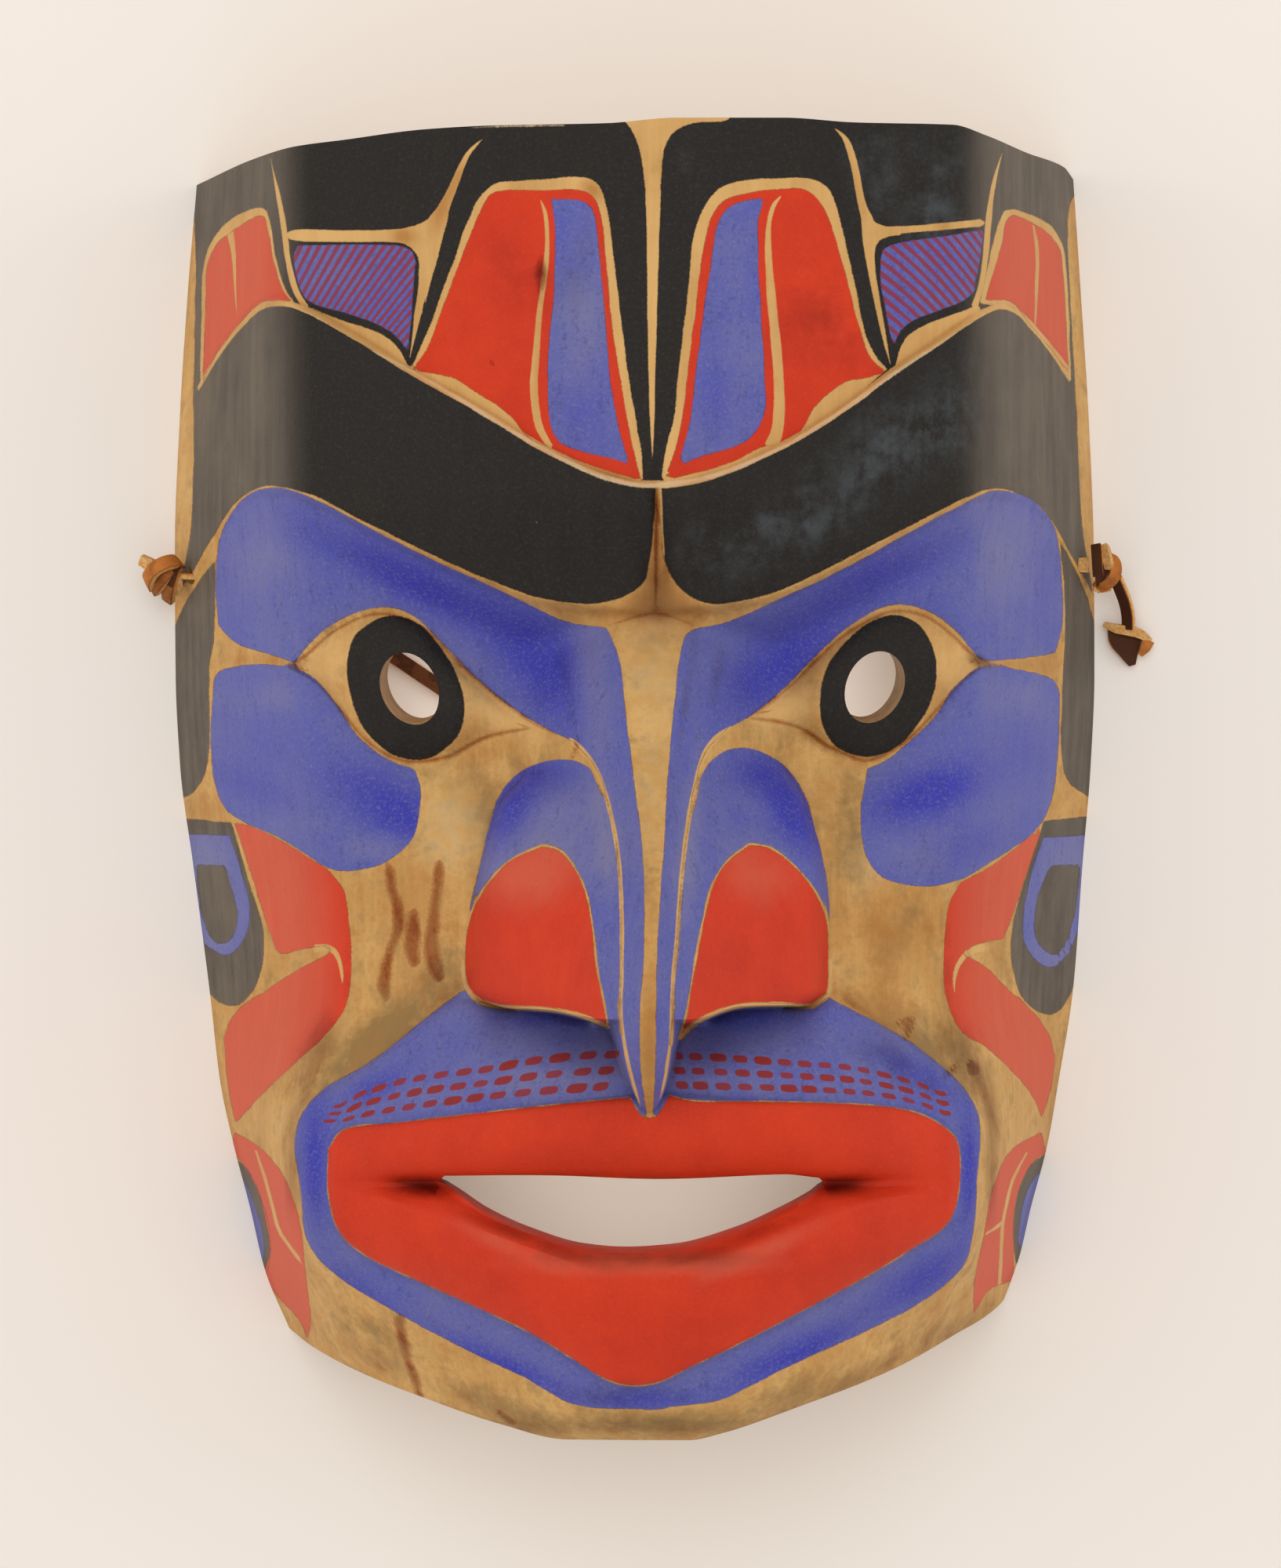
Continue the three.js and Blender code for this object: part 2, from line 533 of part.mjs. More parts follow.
// The lace comes in at the left hole, drops to the table, crosses in a slack curve and goes
// out at the right hole.
function thong() {
  return along(round(THONG / 2, THONG_SIDES), THONG_ROUTE, 64);
}

function leftKnot() {
  const [x, y, z] = LEFT_KNOT;
  const body = lump([x, y, z], [4.1, 4.6, 4.2]);
  const tip = along(flat(3.4, 2), [[x - 1, y + 1, z], [x - 3.4, y + 4, z + 0.6],
    [x - 5.6, y + 6.6, z + 1]], 3);
  const fold = along(flat(3.8, 2.2), [[x + 1, y, z], [x + 1.4, y - 3.5, z - 2],
    [x + 1, y - 6.6, z - 4]], 3);
  return geometryOf(body.add(solidOf(tip)).add(solidOf(fold)));
}

function rightKnot() {
  const [x, y, z] = RIGHT_KNOT;
  const upper = lump([x - 0.6, y + 2.2, z], [3.5, 3.8, 4]);
  const lower = lump([x + 0.6, y - 1.6, z], [3.6, 4.2, 4]);
  return geometryOf(upper.add(lower));
}

// The loose end hangs from the right knot to the table and ends in a folded corner.
function thongEnd() {
  const tail = along(flat(THONG, 1.8), END_ROUTE, 8);
  const fold = new THREE.Shape();
  FOLDED_END.forEach(([x, y], i) => fold[i ? 'lineTo' : 'moveTo'](x, y));
  const corner = new THREE.ExtrudeGeometry(fold, { depth: 3, bevelEnabled: false });
  corner.translate(0, 0, 0.3);
  return geometryOf(solidOf(tail).add(solidOf(corner)));
}

const mask = new THREE.Group();
function add(name, geometry, color, roughness) {
  const material = new THREE.MeshStandardMaterial({ color, roughness, metalness: 0 });
  const mesh = new THREE.Mesh(geometry, material);
  mesh.name = name;
  mask.add(mesh);
}
add('cedar_mask', cedarMask(), 0xc49e5f, 0.6);
add('thong', thong(), 0xa05523, 0.7);
add('left_knot', leftKnot(), 0xa8602a, 0.7);
add('right_knot', rightKnot(), 0xa05523, 0.7);
add('thong_end', thongEnd(), 0x7a3e1c, 0.7);

export default mask;
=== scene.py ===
"""Painted cedar mask with its leather thong, lying face up on a pale table.

The mask is carved from a stencil: every outline is given in dots, as it is seen from a point
straight above the mask, and the heights over the back rim in millimetres."""

import math
from functools import reduce

import bpy
import numpy as np
from bpy.props import FloatProperty, FloatVectorProperty, PointerProperty
from bpy.types import Operator, Panel, PropertyGroup
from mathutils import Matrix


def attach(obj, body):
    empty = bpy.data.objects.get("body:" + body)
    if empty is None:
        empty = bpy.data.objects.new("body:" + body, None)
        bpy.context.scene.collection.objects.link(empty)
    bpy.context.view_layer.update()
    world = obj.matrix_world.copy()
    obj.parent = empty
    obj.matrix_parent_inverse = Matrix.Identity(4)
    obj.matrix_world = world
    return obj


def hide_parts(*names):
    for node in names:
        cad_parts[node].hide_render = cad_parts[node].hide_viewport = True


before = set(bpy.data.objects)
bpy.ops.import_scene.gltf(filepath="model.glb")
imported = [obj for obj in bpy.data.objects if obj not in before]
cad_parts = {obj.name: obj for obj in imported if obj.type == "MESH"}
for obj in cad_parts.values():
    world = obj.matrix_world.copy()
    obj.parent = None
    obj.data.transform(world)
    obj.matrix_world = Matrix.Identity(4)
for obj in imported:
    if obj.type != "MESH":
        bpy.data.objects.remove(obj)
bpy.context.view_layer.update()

bl_info = {
    "name": "Painted cedar mask",
    "version": (1, 0, 0),
    "blender": (4, 5, 0),
    "location": "3D View > Sidebar > Cedar Mask",
    "description": "Carves and paints a beaked cedar mask and knots its leather thong",
    "category": "Object",
}

MM = 0.001

# The stencil, in dots, and the viewing point, in mm over the back rim
VIEW_HEIGHT = 1000.0
DOTS_AT_VIEW_HEIGHT = 5064.0
PICTURE_HEIGHT = 2000
STENCIL_MIDDLE = (817.0, 1000.0)
MIDDLE_FROM_CENTRE = (1.46, -0.86)  # mm
PLUMB_LINE = 828.0
BROW_PARTING = 838
MOUTH_LINE = 1508
MOUTH_ENDS = (556, 1054)
BEAK_TIP = 1424
BROW_STEP = 9
BROW_FALL = 14
CHEEKS = ((415, 1000), (1215, 1010))
CHEEK_HALF = (150, 125)
END_WALLS = (72, 62)  # at the crown and under the chin
RIM_DOTS = 5.2  # dots to a mm at the rim
FACE_DOTS = 5.8  # and at the face

# Forms across the stencil: x dots of both ends, and over how many dots they fade there
BROW_SPAN = (290, 1330, 80)
MUZZLE_SPAN = (375, 1258, 24)
UNDER_NOSE_SPAN = (590, 1060, 60)
LIP_SPAN = (413, 1227, 16)
GAPE_SPAN = (400, 1240, 150)
MOUTH_CORNER_SPAN = (470, 1148, 90)

# Forms down the stencil: y dots of their start, and over how many dots they grow or fade
PARTING_WIDENS = (640, 130)
SOCKET_ENDS = (960, 150)
WINGS_START = (860, 110)
WING_STEP_STARTS = (940, 90)
WING_SWELL_STARTS = (1040, 140)
BEAK_ROOT_ENDS = (900, 150)
SPARED_STARTS = (480, 320)  # the wood spared behind the eyes
SPARED_ENDS = (980, 380)

# Sizes of the carving, in mm
WALL = 12.0
BEHIND_EYES = 10.0
BROW_PROUD = 4.0
CHEEK_PROUD = 4.0
LIP_PROUD = 2.5
LIP_SWELL = 1.5
LIP_TURN = 5.0  # how far the lips turn in to the mouth
BEAK_ROOT = 8.0
MOUTH_CORNER = 4.5
MUZZLE_PROUD = 2.5
UNDER_NOSE = 5.0
UNDER_CHIN = 7.0
ORB_PROUD = 5.0
LID_CUT = 0.8
WING_STEP = 7.0
WING_SWELL = 5.0
NOWHERE = -1e3  # height of a form beyond its own edges
PUPIL = (13.6, 17.4)
PUPIL_SPLAY = 2.0
PUPIL_CUT = (100.0, 45.0)  # its upper and lower end
MOUTH_HEIGHT = 98.0
MOUTH_CUT = (125.0, 50.0)
THONG_HOLE = 2.2
LEFT_HOLE = (-107, 51, 11)
RIGHT_HOLE = (107.2, 53.7, 11)

# Faces of the mesh between the lines ruled across and down the stencil
FRONT_ROWS = (76, 3, 34, 4, 92, 2, 16, 3, 18, 12, 5, 24, 3, 5, 13)
FRONT_COLUMNS = (26, 42, 26, 5, 8, 6, 8, 5, 26, 42, 26)
HOLLOW_ROWS = (60,)
HOLLOW_COLUMNS = (12, 40, 12)
END_WALL_ROWS = 12
FIRST_GUESS = (160, 1830)  # y dots of the first and last row, before they settle
SETTLING_ROUNDS = 14
CARVED_EDGE = 50  # degrees between faces from which an edge stays sharp
LACE_EDGE = 60

# Paint, in dots
FILL_REACH = 24.0  # how far an outline is felt
STROKE_REACH = 40.0
OFF_THE_BAND = 9.0
HATCH_PITCH = (12.2, 15.2)  # from one stroke to the next, left and right
HOLLOWNESS_STEP = 9

COLOUR, NUMBER = "NodeSocketColor", "NodeSocketFloat"


def table(text):
    """Rows of numbers, with commas inside a row and blanks between the rows."""
    return [tuple(float(number) for number in row.split(",")) for row in text.split()]


# The lace's way from one knot to the other, in mm
THONG_ROUTE = table("""-112.9,51,11 -107,51,11 -99,51,11 -93.5,50.6,10.7 -88.5,48.4,9 -82.5,44.6,6.2
    -76,40.4,3.8 -69,36.2,2.5 -60,30.8,2.2 -50,24.2,2.2 -37,15.8,2.2 -22,8,2.2 -6,3,2.2 12,0.6,2.2
    30,0.8,2.2 46,3.4,2.2 59,8,2.2 69,14,2.2 76.5,22.4,2.7 81.5,32.4,4.7 85.5,41.9,7.7 89.3,49.4,9.9
    94,53.2,10.9 99.5,53.7,11 107.2,53.7,11 113,53.7,11""")


def ease(t):
    c = np.clip(t, 0.0, 1.0)
    return c * c * (3 - 2 * c)


def past(at, start, run):
    """Grows softly from 0 at the start to 1 at the end of the run."""
    return ease((at - start) / run)


def between(at, low, high, run):
    return past(at, low, run) * ease((high - at) / run)


def bend(t, wide, value, lean, i):
    """A cubic from value i to the next one, by the share t and the lean at both ends."""
    t2, t3 = t * t, t * t * t
    return ((2 * t3 - 3 * t2 + 1) * value[i] + (3 * t2 - 2 * t3) * value[i + 1]
            + wide * ((t3 - 2 * t2 + t) * lean[i] + (t3 - t2) * lean[i + 1]))


class Line:
    """A smooth line through given points, which never overshoots them."""

    def __init__(self, text):
        self.at, self.value = np.array(table(text)).T
        slope = np.diff(self.value) / np.diff(self.at)
        before, after = np.r_[slope[0], slope], np.r_[slope, slope[-1]]
        both = before * after
        total = np.where(both > 0, before + after, 1.0)
        self.lean = np.where(both > 0, 2 * both / total, 0.0)

    def __call__(self, at):
        at = np.clip(at, self.at[0], self.at[-1])
        i = np.clip(np.searchsorted(self.at, at) - 1, 0, len(self.at) - 2)
        wide = self.at[i + 1] - self.at[i]
        return bend((at - self.at[i]) / wide, wide, self.value, self.lean, i)


def shifted(line, by):
    return lambda at: line(at) + by


def lines_of(texts):
    return {name: Line(text) for name, text in texts.items()}


# Lines across the stencil: y dots for each x dot
ACROSS = lines_of({
    "crown": """251,236 323,203 375,187 441,178 540,165 627,160 774,157 863,150 1000,150 1089,156 1215,159
        1259,173 1310,195 1357,213 1369,229""",
    "brow top": """228,540 259,486 300,425 335,392 360,387 390,398 457,436 524,478 615,529 694,577 754,604
        793,618 837,623 880,619 919,608 998,573 1077,525 1140,478 1195,442 1251,405 1276,396 1298,403
        1330,434 1363,474 1393,520""",
    "brow foot": """224,760 247,727 299,643 330,622 354,620 402,633 457,661 556,710 635,744 687,762 746,770
        833,777 907,770 946,766 998,752 1045,730 1156,673 1227,637 1267,623 1300,630 1335,655 1365,705
        1396,765""",
    "muzzle top": """270,1405 386,1403 411,1391 475,1353 539,1302 593,1272 650,1284 703,1288 774,1300
        881,1300 946,1283 1039,1281 1058,1272 1148,1321 1218,1375 1243,1395 1365,1400""",
    "lip top": """290,1470 419,1455 450,1438 509,1432 637,1417 739,1406 803,1400 853,1397 953,1405 1020,1406
        1132,1412 1190,1428 1221,1450 1340,1470""",
    "mouth top": "309,1503 501,1508 555,1505 709,1500 840,1504 1001,1498 1055,1505 1330,1505",
    "mouth foot": """310,1513 501,1514 555,1515 573,1523 619,1551 673,1573 744,1591 791,1594 859,1590
        938,1570 997,1546 1037,1526 1055,1514 1328,1513""",
    "lip ridge": """318,1524 480,1528 530,1543 619,1571 709,1603 780,1624 830,1620 899,1609 978,1582
        1060,1547 1160,1525 1322,1524""",
    "lip foot": """325,1562 419,1555 434,1573 466,1601 530,1632 601,1664 673,1698 726,1730 773,1759 803,1767
        839,1762 879,1744 938,1716 1017,1675 1096,1633 1156,1597 1207,1562 1225,1550 1312,1550""",
    "chin": """340,1630 398,1612 416,1622 509,1676 601,1725 673,1759 726,1786 780,1795 859,1793 918,1784
        958,1767 1025,1734 1108,1696 1175,1661 1227,1617 1300,1597""",
    "foot": """369,1694 398,1717 459,1750 544,1784 637,1816 723,1836 879,1837 918,1829 1017,1795 1136,1748
        1215,1704 1278,1661 1290,1633""",
})

# Lines down the stencil: x dots for each y dot
DOWN = lines_of({
    "left rim": """236,251 380,239 540,229 700,223 860,224 980,230 1100,246 1260,267 1380,281 1460,298
        1540,319 1620,338 1694,369""",
    "left corner": """186,375 640,375 900,385 1050,405 1150,425 1260,428 1360,400 1430,382 1520,386 1590,400
        1640,425 1750,459""",
    "left wing": "150,610 800,640 930,690 985,668 1030,632 1114,609 1221,594 1262,597 1300,640 1837,640",
    "left base": """150,740 780,735 930,722 979,735 1100,755 1260,766 1310,776 1354,793 1385,803 1404,810
        1418,820 1460,790 1837,770""",
    "left flank": """150,765 780,765 930,745 979,760 1032,778 1096,789 1168,793 1293,792 1346,797 1385,807
        1404,815 1418,823 1460,800 1837,790""",
    "left ridge": """150,806 780,792 814,786 900,797 1007,810 1079,819 1150,822 1221,821 1293,816 1364,817
        1400,821 1420,825 1460,818 1837,815""",
    "right ridge": """150,850 780,878 811,874 900,860 1007,851 1079,847 1150,842 1221,838 1293,837 1364,836
        1400,834 1420,832 1460,840 1837,843""",
    "right flank": """150,885 780,900 930,912 961,899 1000,887 1061,876 1121,869 1184,864 1257,858 1329,854
        1385,847 1404,841 1418,834 1460,862 1837,875""",
    "right base": """150,910 780,925 930,935 979,915 1100,895 1260,880 1310,874 1354,860 1385,851 1404,846
        1418,837 1460,880 1837,900""",
    "right wing": """150,1040 800,1020 920,965 975,1000 1018,1028 1114,1053 1193,1058 1262,1056 1300,1015
        1837,1015""",
    "right corner": """160,1240 640,1240 900,1245 1050,1230 1150,1214 1260,1212 1340,1235 1430,1250
        1520,1247 1590,1236 1640,1213 1704,1195""",
    "right rim": """229,1369 380,1379 540,1389 700,1395 860,1396 980,1391 1100,1381 1260,1369 1380,1350
        1460,1336 1540,1315 1600,1301 1633,1290""",
})

# Heights down the mask, mm
MIDDLE = Line("150,99 400,101 620,99 790,90 1000,87 1250,90 1400,103 1505,101 1620,105 1765,97 1837,89")
LEFT_CORNER = Line("186,64 600,69 900,64 1100,60 1260,58 1400,64 1505,72 1600,64 1750,46")
RIGHT_CORNER = Line("160,84 600,79 900,70 1100,64 1260,60 1400,66 1505,74 1600,66 1704,48")
BEAK = Line("""740,84 790,90 814,93 900,105 1007,118 1079,128 1150,138 1221,145 1270,148 1310,147 1350,141
    1385,129 1405,118 1422,106""")
FLANK_FALL = Line("790,1.25 930,1.3 1060,1.9 1280,2 1422,2.6")
SIDE_FALL = Line("790,1.25 930,1.4 1060,3 1260,9 1310,18 1350,26 1422,34")
SOCKET = Line("""224,0 300,2 375,5 520,9 620,11 700,13 760,11 823,5 890,11 960,14 1040,13 1116,11 1240,6
    1340,2 1396,0""")

EYES = (
    {"ends": (378, 726), "pupil": (522, 879), "tilt": -0.38, "splay": (0.2, 0.67),
     "upper": Line("378,845 398,821 437,793 489,779 528,791 568,829 615,876 675,920 726,943"),
     "lower": Line("378,845 430,896 457,936 497,967 536,973 576,963 615,942 655,936 726,943")},
    {"ends": (958, 1251), "pupil": (1116, 877), "tilt": 0.4, "splay": (-0.35, 0.7),
     "upper": Line("958,916 998,884 1045,837 1093,797 1136,777 1176,781 1215,805 1251,843"),
     "lower": Line("958,916 998,922 1029,940 1057,959 1100,973 1156,947 1195,908 1251,843")},
)


def by_side(x, name, y):
    """The left or the right one of a pair of lines down the stencil."""
    return np.where(x < PLUMB_LINE, DOWN["left " + name](y), DOWN["right " + name](y))


def shell(x, y, hollow=False):
    """The shell before carving, or the hollow, drawn in by the wall's thickness."""
    left = x < PLUMB_LINE
    dots = np.where(left, 1, -1) * (WALL * RIM_DOTS if hollow else 0)
    rim = by_side(x, "rim", y) + dots
    corner = by_side(x, "corner", y) + dots * 0.7
    thinner = WALL if hollow else 0
    high = np.where(left, LEFT_CORNER(y), RIGHT_CORNER(y)) - thinner * 0.8
    middle = MIDDLE(y) - thinner
    up = (x - rim) / (corner - rim)
    over = np.clip((x - corner) / (PLUMB_LINE - corner), 0, 1)
    vault = high + (middle - high) * (1 - (1 - over) ** np.where(left, 1.7, 2.6))
    return np.where(up < 1, high * up * (1.2 - 0.2 * up), vault)


def rounded(x, y, reach=12):
    """The shell with its corners taken off over the reach, in dots."""
    return (shell(x - reach, y) + 2 * shell(x, y) + shell(x + reach, y)) / 4


def socket(x, y):
    """How deep the eye sockets lie under the brows."""
    below = past(y, ACROSS["brow foot"](x), 75)
    return SOCKET(x) * below * (1 - past(y, *SOCKET_ENDS))


def brow(x, y):
    on = past(y, ACROSS["brow top"](x) - BROW_STEP, BROW_STEP)
    on = on * (1 - past(y, ACROSS["brow foot"](x), BROW_FALL))
    side = 0.4 + 0.6 * between(x, *BROW_SPAN)
    half = 4 + 18 * past(y, *PARTING_WIDENS)
    parting = past(np.abs(x - BROW_PARTING), half, 10)
    return on * side * (BROW_PROUD * (0.35 + 0.65 * parting))


def orb(x, y):
    """The almonds of the eyes, with a knife cut along their lids."""
    z = 0.0
    for eye in EYES:
        top, foot = eye["upper"](x), eye["lower"](x)
        inside = (x > eye["ends"][0]) & (x < eye["ends"][1])
        half = np.maximum((foot - top) / 2, 0.5)
        off = (y - (top + foot) / 2) / half
        dome = ORB_PROUD * (1 - off * off) * np.minimum(1, half / 60)
        z = z + np.where(inside & (np.abs(off) < 1), dome, 0)
        nearest = np.minimum(np.abs(y - top), np.abs(y - foot))
        z = z - np.where(inside, LID_CUT * np.exp(-((nearest / 8) ** 2)), 0)
    return z


def cheek(x, y):
    mx, my = (np.where(x < PLUMB_LINE, *pair) for pair in zip(*CHEEKS))
    off = np.hypot((x - mx) / CHEEK_HALF[0], (y - my) / CHEEK_HALF[1])
    return CHEEK_PROUD * (1 - ease(off))


def face(x, y):
    return rounded(x, y) + brow(x, y) - socket(x, y) + orb(x, y) + cheek(x, y)


def beak(x, y):
    """The beak alone: a flat-topped ridge, its flanks down to the fine line, steep sides."""
    ridge, line = by_side(x, "ridge", y), by_side(x, "flank", y)
    out = np.maximum(np.where(x < PLUMB_LINE, ridge - x, x - ridge), 0) / FACE_DOTS
    flank = np.abs(ridge - line) / FACE_DOTS
    z = BEAK(y) - FLANK_FALL(y) * np.minimum(out, flank)
    z = z - SIDE_FALL(y) * np.maximum(out - flank, 0)
    return np.where(y > BEAK_TIP, NOWHERE, z)


def wing(x, y):
    """A nostril wing leans from the beak's flank down to the cheek and ends in a step."""
    outer, inner = by_side(x, "wing", y), by_side(x, "flank", y)
    f = (x - outer) / (inner - outer)
    below = y - ACROSS["muzzle top"](x)
    foot, top = face(outer, y), beak(inner, y)
    step = WING_STEP * past(y, *WING_STEP_STARTS)
    body = foot + step * ease(f / 0.1) + (top - foot - step) * (0.75 * f + 0.25 * f**3)
    swell = WING_SWELL * past(y, *WING_SWELL_STARTS) * np.sin(math.pi * np.clip(f, 0, 1))
    z = body + swell - np.where(below > 0, 6 * below, 0)
    return np.where((f < 0) | (f > 1.05) | (below > 7), NOWHERE, z)


def muzzle(x, y):
    """The moustache's field, the lips round the mouth, and the chin that turns under."""
    muzzle_top, lip_top, top, foot, ridge, lip_foot, chin, chin_foot = (
        ACROSS[name](x) for name in ("muzzle top", "lip top", "mouth top", "mouth foot",
                                     "lip ridge", "lip foot", "chin", "foot"))
    start = y - muzzle_top
    hollow = UNDER_NOSE * between(x, *UNDER_NOSE_SPAN) * (1 - ease(start / 80))
    z = MUZZLE_PROUD * ease(start / 10) - hollow
    lips = between(x, *LIP_SPAN) * between(y, lip_top - 4, lip_foot + 4, 8)
    t = np.maximum(0, (y - lip_top) / (top - lip_top))
    upper = LIP_SWELL * np.sin(math.pi * np.minimum(t, 1)) - LIP_TURN * t**3
    inner = -LIP_TURN * np.where(y < foot, 1, 1 - (y - foot) / (ridge - foot))
    lower = LIP_SWELL * np.sin(math.pi * np.clip((y - ridge) / (lip_foot - ridge), 0, 1))
    turned_lip = np.where(y < top, upper, np.where(y < ridge, inner, lower))
    below = y - MOUTH_LINE
    groove = np.exp(-((below / np.where(below < 0, 7, 15)) ** 2))
    lip = (LIP_PROUD + between(x, *GAPE_SPAN) * turned_lip
           - MOUTH_CORNER * between(x, *MOUTH_CORNER_SPAN) * groove)
    under = UNDER_CHIN * np.clip((y - chin) / (chin_foot - chin), 0, 1) ** 2
    return np.where(start < 0, 0, between(x, *MUZZLE_SPAN) * (z + lips * lip - under))


def front(x, y):
    """Height of the carved front over the back rim at spots of the stencil, mm."""
    low, high = face(x, y) + muzzle(x, y), beak(x, y)
    root = 0.1 + BEAK_ROOT * (1 - past(y, *BEAK_ROOT_ENDS))
    near = np.maximum(root - np.abs(low - high), 0)
    under = np.maximum(np.maximum(low, high) + near**2 / (4 * root), 0)
    return under + past(y, *WINGS_START) * np.maximum(wing(x, y) - under, 0)


def seen(x, y, z):
    """From spots of the stencil and their heights to the mask's own frame, mm."""
    dot = (VIEW_HEIGHT - z) / DOTS_AT_VIEW_HEIGHT
    return np.stack([
        (x - STENCIL_MIDDLE[0]) * dot + MIDDLE_FROM_CENTRE[0],
        (STENCIL_MIDDLE[1] - y) * dot + MIDDLE_FROM_CENTRE[1],
        z + 0 * dot,
    ], axis=-1)


def spots(points):
    """From points of the mask, mm, back to spots of the stencil."""
    dots = DOTS_AT_VIEW_HEIGHT / (VIEW_HEIGHT - points[:, 2])
    return (
        STENCIL_MIDDLE[0] + (points[:, 0] - MIDDLE_FROM_CENTRE[0]) * dots,
        STENCIL_MIDDLE[1] - (points[:, 1] - MIDDLE_FROM_CENTRE[1]) * dots,
    )


